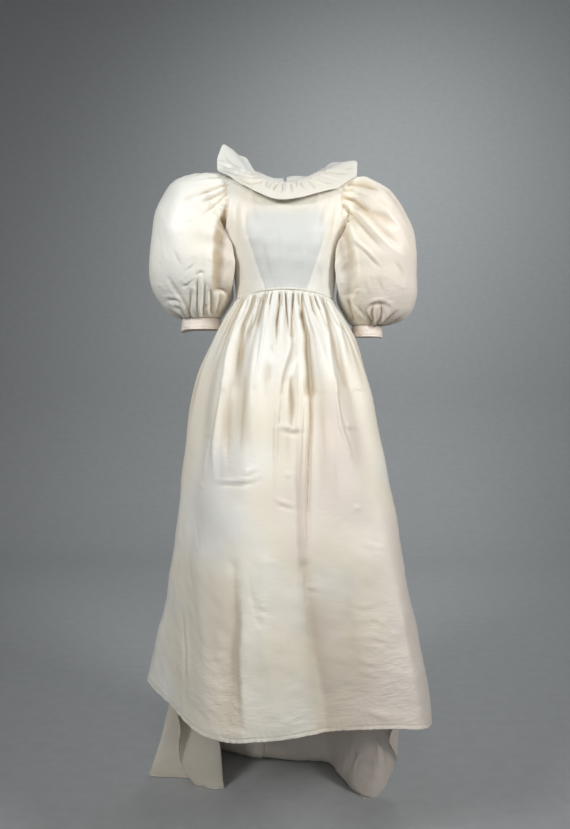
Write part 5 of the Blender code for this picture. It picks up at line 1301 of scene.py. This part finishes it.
def sleevePiece(side):
    sign = sideSign[side]
    seed = sleeveLook["seed"][side]
    turns = np.concatenate([start + np.arange(count) * 180.0 / count for start, count in (
        (0.0, sleeveLook["backColumns"]), (180.0, sleeveLook["frontColumns"]))])
    along = np.concatenate([[0.0, 0.004, 0.010, 0.018], np.linspace(0.028, 0.90, sleeveLook["rows"] - 22),
                            0.90 + 0.10 * np.linspace(0.0, 1.0, 19)[1:]])
    turn, place = gridOf(turns, along)
    head = gatheredEnd(turn, place, *sleeveLook["head"], seed, False)
    cuff = gatheredEnd(turn, place, *sleeveLook["cuff"], seed + 1, True)
    front = ease(-sineOf(turn), 0.0, 0.35)
    gathers = head * (0.15 + 0.85 * ease(place, 0.0, 0.05)) + cuff * (1.0 - 0.65 * ease(place, 0.965, 1.0))
    points = sleevePoints(turn, place, side, gathers * (1.0 - sleeveLook["frontCalm"] * front))
    traced = tracedLift(points, leftSleeveCreases if side == "left" else rightSleeveCreases, 2.2,
                        sleeveLook["ridge"][side])
    # shallow by the seam, so that the bodice's edge covers it
    limit = 0.0004 + 0.009 * ease(place, 0.0, 0.08)
    traced = limit * np.tanh(traced * sleeveLook["tracedScale"] / limit)
    steps = leftSleeveSteps if side == "left" else rightSleeveSteps
    sink, wall = tracedSink(points, steps)
    # past its main fold the cloth is painted a rosier shade
    past = [(math.copysign(sleeveLook["pastShade"][side], depth), width, 1.3 * reach, 0.7, 0.9, *path)
            for depth, width, reach, _, _, *path in steps[:1]]
    shade = np.clip(tracedSink(points, past)[0] * 1000.0, 0.0, 1.0)
    toFront = ease(-sineOf(turn), 0.0, 0.25) * ease(place, 0.0, 0.06)
    sink, wall, shade = sink * toFront, wall * toFront, shade * toFront
    rows = []
    for zone in sleeveZones:
        rows += scatteredCreases(dict(zone, metresAColumn=0.0019, metresARow=0.42, seed=zone["seed"] + seed))
    lift = creaseLift(points, turns, along, rows)
    v = place * sleeveLook["cutLength"]
    soft = undulation(np.abs(turn - 180.0) / 360.0 * sleeveLook["cutWidth"], v, (0.05, 0.16), seed + 2)
    lift = lift + 0.0022 * humpOver(place, 0.95, 0.988, 1.001)
    lift = lift + 0.0012 * soft * humpOver(place, 0.02, 0.5, 0.98) + traced * ease(-sineOf(turn), -0.02, 0.22)
    outward = outwardOf(points, closed=True) * (-sign)
    points = points + outward * lift[..., None]
    points[..., 1] += sink
    # the head tucks under the bodice's edge, and the lower end into the cuff
    tuck = armholePoints(turn[:, :1], sign, 0.005)
    tuck = tuck - levelUnit(tuck) * sleeveLook["tuckIn"]
    down = sleeveLook["tuckDown"]
    end = points[:, -1:] - np.array([0.0, 0.0, down])
    points = np.concatenate([tuck, points, end], axis=1)
    rowsFlat = np.concatenate([[-down], along * sleeveLook["cutLength"], [sleeveLook["cutLength"] + down]])
    flat = np.stack(gridOf(np.append(turns, 360.0) / 360.0 * sleeveLook["cutWidth"], rowsFlat), -1)
    placeAll = np.concatenate([[0.0], along, [1.0]])[None, :]
    crumple = 0.08 + 0.22 * ease(placeAll, 0.66, 0.92) + 0.08 * (1.0 - ease(placeAll, 0.0, 0.25))
    # painted shade on the wall of the main fold and in the traced troughs
    paintedWallShade = sleeveLook["wallShadeStrength"][side] * wall * (1.0 + 0.3 * soft)
    paintedCreaseShade = np.clip(np.clip(-traced / 0.0055, 0.0, 1.0) + paintedWallShade, 0.0, 1.0)
    paintedCreaseShade, shade = (np.concatenate([mark[:, :1], mark, mark[:, -1:]], axis=1) for mark in (paintedCreaseShade, shade))
    gathered = 0.85 * np.exp(-placeAll / 0.13) + 0.85 * np.exp(-(1.0 - placeAll) / 0.085) + 0.03
    marks = {"crumple": crumple, "paintedGreyShade": 0.0, "paintedDoubledLight": 0.0, "paintedCreaseShade": paintedCreaseShade, "gathered": gathered, "shade": shade}
    return clothObject(f"sleeve_{side}_cloth", points, flat, marks, taffeta, closed=True, outside=-int(sign))


sleeveLeft = sleevePiece("left")
sleeveRight = sleevePiece("right")
print("sleeves made")


# cuffs: bands of doubled cloth, lapped at a placket

cuffLook = {
    "height": 0.024, "wall": 0.0022, "columns": 120, "cutWidth": 0.262, "stitchRows": (0.0031, 0.0209),
    "lapRise": 0.0010, "flare": 1.035, "widen": 0.003,
    # the lap's turn round each cuff, and how far the corner by it hangs down
    "left": {"lap": 330.0, "hangTurn": 262.0, "hang": 0.0070, "top": -0.306, "seed": 90},
    "right": {"lap": 352.0, "hangTurn": 90.0, "hang": 0.0030, "top": -0.322, "seed": 91},
}


def cuffPiece(side):
    look = cuffLook[side]
    sign = sideSign[side]
    table = sleeveTables[side]
    middleX = (table["outerX"][-1] + table["innerX"][-1]) / 2 * sign
    halfX = (table["outerX"][-1] - table["innerX"][-1]) / 2 + cuffLook["widen"]
    halfY, middleY = table["depth"][-1], table["midY"][-1]
    # section of the band: down the outside, round the lower edge, up the inside, round the top
    half = cuffLook["wall"] / 2
    profile = [(half * 0.80, 0.0), (half, 0.0008), (half, 0.0026), (half * 0.72, 0.0031), (half, 0.0036)]
    profile += [(half * 1.05, 0.008), (half * 1.08, 0.012), (half * 1.05, 0.016)]
    profile += [(half, 0.0204), (half * 0.72, 0.0209), (half, 0.0214), (half, 0.0232), (half * 0.7, 0.0240)]
    profile += [(-half * 0.7, 0.0240), (-half, 0.0232), (-half, 0.012), (-half, 0.0008), (-half * 0.8, 0.0)]
    turns = np.arange(cuffLook["columns"]) * 360.0 / cuffLook["columns"]
    offset, level = np.array(profile).T[:, None, :]
    turn = turns[:, None] + np.zeros_like(level)
    flare = 1.0 + (cuffLook["flare"] - 1.0) * level / cuffLook["height"]
    hang = look["hang"] * bell(signedTurn(turn - look["hangTurn"]), 34.0) * level / cuffLook["height"]
    lap = signedTurn(turn - look["lap"])
    lapped = cuffLook["lapRise"] * (ease(lap, -1.6, 1.6) * (1.0 - ease(lap, 4.0, 26.0)))
    wave = 0.0009 * undulation(np.abs(signedTurn(turn)) / 180.0 * 0.12, level, (0.02, 0.06), look["seed"])
    radial = offset + lapped + wave + 0.35 * hang
    x = middleX + (halfX * flare + radial) * sineOf(turn)
    y = middleY - (halfY * flare + radial) * cosineOf(turn)
    z = look["top"] - 0.00105 - level - hang
    points = spot(x, y, z)
    around = np.append(turns, 360.0) / 360.0 * cuffLook["cutWidth"]
    flat = np.stack(gridOf(around, arcAlong(points, 1).mean(0)), -1)
    # the section is a closed loop, so its first row is joined on again as the last
    points = np.concatenate([points, points[:, :1]], axis=1)
    flat = np.concatenate([flat, flat[:, -1:] + np.array([0.0, 0.002])], axis=1)
    # the doubled band is painted a little lighter
    marks = {"crumple": 0.55, "paintedGreyShade": 0.0, "paintedDoubledLight": 0.25,
             "gathered": 0.45 * (1.0 - ease(level, 0.0, 0.016))[:, list(range(len(profile))) + [0]]}
    piece = clothObject(f"cuff_{side}_cloth", points, flat, marks, shadedCuffTaffeta, wall=0.0, closed=True, outside=-1)
    mergeRing(piece)
    for height in cuffLook["stitchRows"]:
        line = points[:, np.argmin(np.abs(level[0, :13] - height))]
        line = line + levelUnit(line - np.array([middleX, middleY, 0.0])) * 0.0002
        stitchRuns.append(np.concatenate([line, line[:1]]))
    return piece


def mergeRing(piece):
    # joins the band's first and last rows
    grown = bmesh.new()
    grown.from_mesh(piece.data)
    bmesh.ops.remove_doubles(grown, verts=grown.verts, dist=0.00002)
    bmesh.ops.recalc_face_normals(grown, faces=grown.faces)
    grown.to_mesh(piece.data)
    grown.free()


# a rosier, darker copy of the taffeta for the cuffs: painted shade, as they hang under the puffs
shadedCuffTaffeta = silkTaffeta("silk_taffeta_cuffs_shaded", dict(taffetaLook, ivory="#F3E6DE", cream="#F2E4DA", blush="#F1DFD6",
                                                     greenish="#EEE4DC"))
cuffLeft = cuffPiece("left")
cuffRight = cuffPiece("right")
print("cuffs made")


# ruffle round the neck, gathered at its root and open at the centre back

ruffleLook = {
    "columns": 561, "rows": 34, "gathers": 74, "depth": 0.0019, "run": (0.18, 0.62), "endTurn": 178.0,
    "cutWidth": 1.15, "cutLength": 0.052,
}
# pleats on the front of the ruffle, in the front view: see tracedLift
ruffleCreases = [
    (-2.8, 2, 2, 0.2, 0.8, -141, 18, -117, 7, -97, -3, -74, -15),
    (2.4, 2.4, 2, 0.3, 0.8, -142, 24, -117, 13, -95, 1, -75, -10),
    (-2.6, 2, 2, 0.2, 0.8, -140, 3, -115, -9, -92, -21, -69, -29),
    (2.2, 2.4, 2, 0.2, 0.8, -141, 10, -115, -2, -90, -14, -69, -23),
    (-1.8, 1.8, 1.8, 0.1, 0.6, -90, -3, -78, -9, -68, -18),
    (-1.6, 3, 2, 0.1, 0.6, -132, 43, -114, 24, -90, 3),
    (-2.8, 2, 2, 0.3, 0.4, -100, -25, -85, -35, -71, -41, -58, -40, -44, -35),
    (2.6, 2.6, 2.4, 0.3, 0.4, -97, -22, -85, -30, -71, -35, -59, -35, -47, -31),
    (-2.2, 2, 1.6, 0.2, 1, -23, -61, -22, -52, -17, -43),
    (1.8, 2, 1.6, 0.2, 1, -29, -61, -28, -51, -23, -42),
    (1.4, 2, 1.6, 0.1, 1, 1, -67, 2, -53, 2, -43),
    (1.8, 2, 1.6, 0.1, 1, 27, -57, 26, -48, 25, -40),
    (2.2, 2.6, 2, 0.2, 0.9, 142, 0, 112, -1, 86, 0),
    (-1.6, 2.4, 1.8, 0.1, 0.8, 151, 9, 120, 6, 96, 3),
    (1.6, 2.4, 1.8, 0.1, 0.9, 120, -25, 96, -21, 73, -18),
    (-1.4, 2, 1.6, 0.1, 0.9, 63, -57, 57, -46, 49, -36),
]
ruffleCreases += alike((1.8, 1.5, 0.1, 1), [
    (-1.5, -8, -66, -6, -53, -6, -42), (-1.5, 14, -66, 13, -53, 11, -43), (-1.6, 40, -56, 35, -48, 31, -40),
    (-1.4, -37, -54, -38, -45, -37, -37), (1.4, -46, -47, -46, -41, -43, -34),
])
ruffleCreases += alike((2, 1.8, 0.1, 0.9), [
    (-2.4, 132, -11, 108, -9, 82, -5), (-2, 105, -20, 91, -16, 78, -12), (-1.7, 99, -39, 80, -35, 62, -29),
    (1.4, 89, -44, 70, -38, 54, -31),
])


def rufflePiece():
    end = ruffleLook["endTurn"]
    turns = np.linspace(-end, end, ruffleLook["columns"])
    outs = np.linspace(0.02, 1.0, ruffleLook["rows"])
    turn, out = gridOf(turns, outs)
    chance = np.random.RandomState(95)
    lift = np.zeros_like(turn)
    step = 2.0 * end / ruffleLook["gathers"]
    for n in range(ruffleLook["gathers"]):
        centre = -end + step * (n + 0.5 + chance.uniform(-0.3, 0.3))
        run = chance.uniform(*ruffleLook["run"])
        width = chance.uniform(0.9, 1.4) * (1.0 + 1.2 * ease(out, 0.0, run))
        lift -= chance.uniform(0.5, 1.2) * bell(turn - centre, width) * (1.0 - ease(out, 0.1, run))
    lift = lift * ruffleLook["depth"] * (0.45 + 0.55 * ease(np.abs(turn), 95.0, 120.0)) + 0.0007
    points, normal = rufflePoints(turn, out, lift)
    traced = 1.7 * tracedLift(points, ruffleCreases) * (1.0 - ease(np.abs(turn), 104.0, 116.0))
    points = points + normal * traced[..., None]
    # the root stands up a little over the neck edge in small bumps, and goes down inside it
    root = neckPoints(turn[:, :1])
    away = unit(spot(root[..., 0], root[..., 1] - form["shoulderY"], 0.0))
    bump = 0.0011 * undulation(turn[:, :1] * 0.00127, 0.0, (0.006, 0.012), 96)[..., None]
    up = np.array([0.0, 0.0, 1.0])
    crest = root + up * (0.0036 + bump) - away * 0.0002
    inner = root + up * (0.0018 + bump * 0.5) - away * 0.0016
    inside = root - up * 0.0050 - away * 0.0017
    points = np.concatenate([inside, inner, crest, points], axis=1)
    outsAll = np.concatenate([[-0.2, -0.1, -0.04], outs])
    flat = np.stack(gridOf((turns + end) / (2 * end) * ruffleLook["cutWidth"], outsAll * ruffleLook["cutLength"]), -1)
    edge = np.exp(-(1.0 - outsAll) / 0.08)[None, :]
    # painted crease shade in the traced pleats, painted grey shade all over, and a little painted light for doubled
    # cloth
    paintedCreaseShade = np.concatenate([np.zeros((len(turns), 3)), np.clip(-traced / 0.0045, 0.0, 1.0)], axis=1)
    marks = {"crumple": 0.16 + 0.2 * edge, "paintedGreyShade": 0.45, "paintedDoubledLight": 0.1, "paintedCreaseShade": paintedCreaseShade,
             "gathered": 0.12 + 0.45 * np.exp(-np.maximum(outsAll, 0.0) / 0.35)[None, :]}
    piece = clothObject("neck_ruffle_cloth", points, flat, marks, taffeta, outside=-1)
    stitchRuns.append(points[:, -3] + normal[:, -3] * 0.0004)
    return piece


neckRuffle = rufflePiece()
print("ruffle made")


# the small hidden cloth: dart folds inside the front, and the zip's tape

def dartPiece(name, apex, inner, outer):
    rows, columns = 26, 9
    rise = np.linspace(0.0, 0.93, rows)[None, :]
    across = np.linspace(0.0, 1.0, columns)[:, None]
    footX = inner[0] + (outer[0] - inner[0]) * across
    x = footX + (apex[0] - footX) * rise
    z = inner[1] + 0.004 + (apex[1] - inner[1] - 0.004) * rise + np.zeros_like(across)
    points = torsoPoints(x, z, True)
    # a fold lies just inside the front
    points = points - levelUnit(points) * 0.0019
    flat = np.stack([np.abs(x - inner[0]), z], -1)
    outside = 1 if apex[0] > 0 else -1
    # the dart's fold is painted lighter, as doubled cloth
    return clothObject(name, points, flat, {"crumple": 0.1, "paintedGreyShade": 0.0, "paintedDoubledLight": 0.5}, taffeta, outside=outside)


dartLeft = dartPiece("dart_left_cloth", *bodiceLook["darts"][0])
dartRight = dartPiece("dart_right_cloth", *bodiceLook["darts"][1])

# zip at the centre back: a tape and its closed coil inside the cloth, a slider and its pull outside

zipLook = {
    "tapeTop": -0.024, "tapeFoot": -0.326, "tapeWidth": 0.022, "inset": 0.0032, "tapeColumns": 13, "tapeRows": 120,
    "coilPitch": 0.0015, "coilHalfWidth": 0.0021, "coilHalfDepth": 0.0007, "coilThread": 0.00028, "stitchX": 0.0078,
    "stitchFoot": -0.255, "edgeRound": 0.00028,
}


def backLineY(z):
    # centre back of the plain dress, at a height
    bodice = bodicePoints(np.zeros(40), np.linspace(2.0, 0.0, 40), False)
    skirt = skirtPoints(np.full(20, 180.0), np.linspace(0.002, 0.12, 20))
    line = np.concatenate([bodice, skirt])[::-1]
    return np.interp(z, line[:, 2], line[:, 1])


def tapePiece():
    z = np.linspace(zipLook["tapeTop"], zipLook["tapeFoot"], zipLook["tapeRows"])[None, :]
    x = np.linspace(-0.5, 0.5, zipLook["tapeColumns"])[:, None] * zipLook["tapeWidth"]
    # the tape is thicker along its middle, where the coil is sewn to it
    y = backLineY(z) - zipLook["inset"] - 0.0002 * bell(x, 0.004)
    points = spot(x, y, z)
    flat = np.stack(np.broadcast_arrays(x, z), -1)
    return clothObject("zip_tape_cloth", points, flat, {}, polyesterTape, wall=0.0005, outside=-1)


def rowTree(name, unitOf):
    # a tree that sets one shape again and again along the lines it is given
    tree = bpy.data.node_groups.new(name, "GeometryNodeTree")
    for label, kind in (("Lines", "Geometry"), ("Spacing", "Float"), ("Length", "Float"), ("Width", "Float"),
                        ("Thickness", "Float"), ("Finish", "Material")):
        tree.interface.new_socket(label, in_out="INPUT", socket_type="NodeSocket" + kind)
    tree.interface.new_socket("Row", in_out="OUTPUT", socket_type="NodeSocketGeometry")
    given = addNode(tree, "NodeGroupInput").outputs
    path = addNode(tree, "GeometryNodeMeshToCurve", None, {"Mesh": given["Lines"]})
    places = addNode(tree, "GeometryNodeCurveToPoints", {"mode": "LENGTH"},
                     {"Curve": path.outputs[0], "Length": given["Spacing"]})
    uneven = addNode(tree, "FunctionNodeRandomValue", {"data_type": "FLOAT"}, {2: 0.90, 3: 1.08, "Seed": 7})
    placed = addNode(tree, "GeometryNodeInstanceOnPoints", None, {
        "Points": places.outputs["Points"], "Rotation": places.outputs["Rotation"], "Instance": unitOf(tree, given),
        "Scale": uneven.outputs[1]})
    real = addNode(tree, "GeometryNodeRealizeInstances", None, {"Geometry": placed.outputs[0]})
    made = addNode(tree, "GeometryNodeSetMaterial", None, {"Geometry": real.outputs[0], "Material": given["Finish"]})
    addNode(tree, "NodeGroupOutput", None, {"Row": made.outputs[0]})
    return tree


def stitchUnit(tree, given):
    bead = addNode(tree, "GeometryNodeMeshIcoSphere", None, {"Radius": 0.5, "Subdivisions": 1})
    size = addNode(tree, "ShaderNodeCombineXYZ", None, {0: given["Thickness"], 1: given["Width"], 2: given["Length"]})
    return addNode(tree, "GeometryNodeTransform", None,
                   {"Geometry": bead.outputs[0], "Scale": size.outputs[0]}).outputs[0]


def coilUnit(tree, given):
    ring = addNode(tree, "GeometryNodeCurvePrimitiveCircle", {"mode": "RADIUS"}, {"Resolution": 10, "Radius": 1.0})
    size = addNode(tree, "ShaderNodeCombineXYZ", None, {0: given["Length"], 1: given["Width"], 2: 1.0})
    oval = addNode(tree, "GeometryNodeTransform", None, {"Geometry": ring.outputs[0], "Scale": size.outputs[0]})
    thread = addNode(tree, "GeometryNodeCurvePrimitiveCircle", {"mode": "RADIUS"},
                     {"Resolution": 4, "Radius": given["Thickness"]})
    return addNode(tree, "GeometryNodeCurveToMesh", None, {"Curve": oval.outputs[0],
                                                           "Profile Curve": thread.outputs[0]}).outputs[0]


def rowPiece(name, tree, lines, sizes, finish):
    # the lines as loose edges, with the tree's shapes along them as a plain mesh
    mesh = bpy.data.meshes.new(name)
    starts = np.cumsum([0] + [len(line) for line in lines])
    edges = [(n, n + 1) for start, line in zip(starts, lines) for n in range(start, start + len(line) - 1)]
    mesh.from_pydata(np.concatenate(lines).tolist(), edges, [])
    piece = inScene(name, mesh)
    row = piece.modifiers.new("row", "NODES")
    row.node_group = tree
    inputs = {item.name: item.identifier for item in tree.interface.items_tree if item.in_out == "INPUT"}
    for label, value in dict(sizes, Finish=finish).items():
        row[inputs[label]] = value
    shaped = piece.evaluated_get(bpy.context.evaluated_depsgraph_get())
    made = bpy.data.meshes.new_from_object(shaped)
    piece.modifiers.remove(row)
    piece.data = made
    made.name = name
    made.shade_smooth()
    return piece


def roundedCopy(node, name, finish):
    # a die-cast part: the solid's own shape with its edges rounded
    shape = bmesh.new()
    shape.from_mesh(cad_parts[node].data)
    bmesh.ops.remove_doubles(shape, verts=shape.verts, dist=0.00001)
    bmesh.ops.dissolve_limit(shape, angle_limit=math.radians(2.0), verts=shape.verts, edges=shape.edges)
    edges = [edge for edge in shape.edges if len(edge.link_faces) == 2 and edge.calc_face_angle() > 0.6]
    bmesh.ops.bevel(shape, geom=edges, offset=zipLook["edgeRound"], segments=3, profile=0.5, affect="EDGES",
                    clamp_overlap=True)
    bmesh.ops.triangulate(shape, faces=shape.faces)
    mesh = bpy.data.meshes.new(name)
    shape.to_mesh(mesh)
    shape.free()
    mesh.materials.append(finish)
    return inScene(name, mesh)


zipTape = tapePiece()
coilZ = np.linspace(zipLook["tapeTop"] - 0.014, zipLook["tapeFoot"] + 0.004, 160)
coilLine = spot(0.0, backLineY(coilZ) - zipLook["inset"] - 0.0014, coilZ)
zipCoil = rowPiece("zip_coil", rowTree("coil_turns", coilUnit), [coilLine], {
    "Spacing": zipLook["coilPitch"], "Length": zipLook["coilHalfDepth"], "Width": zipLook["coilHalfWidth"],
    "Thickness": zipLook["coilThread"]}, coilPolyester)
zipSlider = roundedCopy("zip_slider", "zip_slider_enamelled", enamelledZinc)
zipPull = roundedCopy("zip_pull", "zip_pull_enamelled", enamelledZinc)
print("zip made")


# loop of covered cord on the hem at the back, its two strands twisted together

loopLook = {"turn": 133.0, "length": 0.024, "halfWidth": 0.0055, "cord": 0.0018, "cordLength": 0.054,
            "rings": 132, "sides": 12, "twists": 22}


def loopPiece():
    hem = skirtPoints(np.array([loopLook["turn"]]), np.array([1.0]))[0]
    centre = hem + np.array([0.0, -(loopLook["length"] / 2 + loopLook["cord"] / 2 + 0.0015 + 0.0006), 0.0])
    centre[2] = max(hem[2], floorZ)
    around = np.linspace(0.0, 2.0 * math.pi, loopLook["rings"], endpoint=False)[:, None]
    ring = np.linspace(0.0, 2.0 * math.pi, loopLook["sides"], endpoint=False)[None, :]
    path = spot(centre[0] + loopLook["halfWidth"] * np.sin(around), centre[1] - loopLook["length"] / 2 * np.cos(around),
                centre[2])
    ahead = unit(np.roll(path, -1, axis=0) - np.roll(path, 1, axis=0))
    up = np.array([0.0, 0.0, 1.0])
    side = np.cross(ahead, up)
    plied = 1.0 - 0.22 * np.abs(np.cos(ring + 0.5 * loopLook["twists"] * around)) ** 3
    radius = loopLook["cord"] / 2 * plied
    points = path + side * (radius * np.cos(ring))[..., None] + up * (radius * np.sin(ring))[..., None]
    points = np.concatenate([points, points[:, :1]], axis=1)
    length = np.arange(loopLook["rings"] + 1)[:, None] / loopLook["rings"] * loopLook["cordLength"]
    flat = np.stack(np.broadcast_arrays(np.linspace(0.0, 1.0, loopLook["sides"] + 1)[None, :], length), -1)
    piece = clothObject("train_loop_cord", points, flat, {}, coveredCord, wall=0.0, closed=True, outside=-1)
    mergeRing(piece)
    return piece


trainLoop = loopPiece()
print("loop made")


# stitches: short and slightly sunk, along the hem, the cuffs, the ruffle's edge and the zip

stitchLook = {"Spacing": 0.0027, "Length": 0.0021, "Width": 0.00042, "Thickness": 0.00034}
for zipX, cloth in ((-zipLook["stitchX"], backLeftPoints), (zipLook["stitchX"], backRightPoints)):
    # down the back's own surface, at one distance from the zip
    rows = [row[np.argsort(row[:, 0])] for row in np.swapaxes(cloth, 0, 1)]
    line = np.array([[zipX] + [np.interp(zipX, row[:, 0], row[:, part]) for part in (1, 2)] for row in rows])
    line = line[(line[:, 2] < zipLook["tapeTop"]) & (line[:, 2] > zipLook["stitchFoot"])]
    stitchRuns.append(line + np.array([0.0, 0.0004, 0.0]))
stitches = rowPiece("seam_stitches", rowTree("row_of_stitches", stitchUnit), stitchRuns, stitchLook, sewingThread)
print("stitches made", len(stitches.data.polygons))

for piece, node in (
        (skirtFront, "skirt_front"), (skirtBackLeft, "skirt_back_left"), (skirtBackRight, "skirt_back_right"),
        (bodiceFront, "bodice_front"), (bodiceBackLeft, "bodice_back_left"), (bodiceBackRight, "bodice_back_right"),
        (sleeveLeft, "sleeve_left"), (sleeveRight, "sleeve_right"), (cuffLeft, "cuff_left"), (cuffRight, "cuff_right"),
        (neckRuffle, "neck_ruffle"), (dartLeft, "dart_left"), (dartRight, "dart_right")):
    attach(piece, body)
    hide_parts(node)
for piece, node, slot, onBody in (
        (zipTape, "zip_tape", "zip_tape", body), (zipSlider, "zip_slider", "zip_metal", body),
        (zipPull, "zip_pull", "zip_metal", "pull"), (trainLoop, "train_loop", "loop_thread", body)):
    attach(piece, onBody)
    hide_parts(node)
for piece, slot in ((zipCoil, "zip_tape"), (stitches, "loop_thread")):
    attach(piece, body)


# camera at the photograph's height and angle, soft studio light and a pale sweep

cameraLook = {"place": (0.0, -1.53, -0.41), "tilt": 86.0, "focalPixels": 700.0, "framePixels": 829.0}
lightLook = {
    "key": {"place": (-1.45, -1.6, 0.60), "aim": (0.0, 0.0, -0.20), "size": 0.6, "power": 8.7, "spread": 100.0,
            "colour": (1.0, 1.0, 0.99)},
    "second": {"place": (1.6, -1.2, 0.45), "aim": (0.0, 0.0, -0.20), "size": 0.6, "power": 8.5, "spread": 100.0,
               "colour": (1.0, 0.99, 0.97)},
    "front": {"place": (0.1, -2.3, 0.45), "aim": (0.0, 0.0, -0.25), "size": 0.8, "power": 4.1, "spread": 100.0,
              "colour": (1.0, 0.99, 0.975)},
    "rim": {"place": (0.6, 1.5, 1.6), "aim": (0.0, 0.0, -0.3), "size": 1.0, "power": 5.0, "spread": 180.0,
            "colour": (1.0, 1.0, 1.0)},
    "backdrop": {"place": (0.6, 1.2, 1.3), "aim": (0.9, 3.1, -0.2), "size": 0.8, "power": 18.0, "spread": 160.0,
                 "colour": (0.97, 1.0, 1.0)},
}
camera = bpy.data.cameras.new("camera")
camera.sensor_fit = "VERTICAL"
camera.sensor_height = 36.0
camera.lens = cameraLook["focalPixels"] / cameraLook["framePixels"] * 36.0
camera.clip_start = 0.05
cameraObject = inScene("camera", camera)
cameraObject.location = cameraLook["place"]
cameraObject.rotation_euler = (math.radians(cameraLook["tilt"]), 0.0, 0.0)
bpy.context.scene.camera = cameraObject

for name, look in lightLook.items():
    lamp = bpy.data.lights.new(name, "AREA")
    lamp.energy = look["power"]
    lamp.size = look["size"]
    lamp.spread = math.radians(look["spread"])
    lamp.color = look["colour"]
    lampObject = inScene(name, lamp)
    lampObject.location = look["place"]
    aim = Vector(look["aim"]) - Vector(look["place"])
    lampObject.rotation_euler = aim.to_track_quat("-Z", "Y").to_euler()

world = bpy.data.worlds.new("studio")
world.use_nodes = True
world.node_tree.nodes["Background"].inputs[0].default_value = linearColour("#C9CBCC")
world.node_tree.nodes["Background"].inputs[1].default_value = 0.185
bpy.context.scene.world = world
bpy.context.scene.view_settings.view_transform = "Standard"


def studioSweep():
    # pale floor that curves up into a backdrop
    profile = [(-4.0, 0.0), (2.2, 0.0)]
    profile += [(2.2 + 0.9 * math.sin(math.radians(a)), 0.9 - 0.9 * math.cos(math.radians(a))) for a in range(6, 91, 6)]
    profile += [(3.1, 4.0)]
    ground = cadBox[0][2] - 0.0002
    points = [(x, y, ground + z) for x in (-5.0, 5.0) for y, z in profile]
    count = len(profile)
    faces = [(i, i + count, i + count + 1, i + 1) for i in range(count - 1)]
    mesh = bpy.data.meshes.new("studio_sweep")
    mesh.from_pydata(points, [], faces)
    mesh.shade_smooth()
    sweep = inScene("studio_sweep", mesh)
    paper, tree = newMaterial("sweep_paper")
    grain = addNode(tree, "ShaderNodeTexNoise", None, {"Scale": 240.0})
    tone = addNode(tree, "ShaderNodeValToRGB", None, {0: grain.outputs[0]}, [
        (0.3, linearColour("#B6B9BB")), (0.7, linearColour("#BCBFC1"))])
    shader = addNode(tree, "ShaderNodeBsdfPrincipled", None, {"Base Color": tone.outputs[0], "Roughness": 0.85})
    addNode(tree, "ShaderNodeOutputMaterial", None, {0: shader.outputs[0]})
    mesh.materials.append(paper)


studioSweep()
print("stage made")
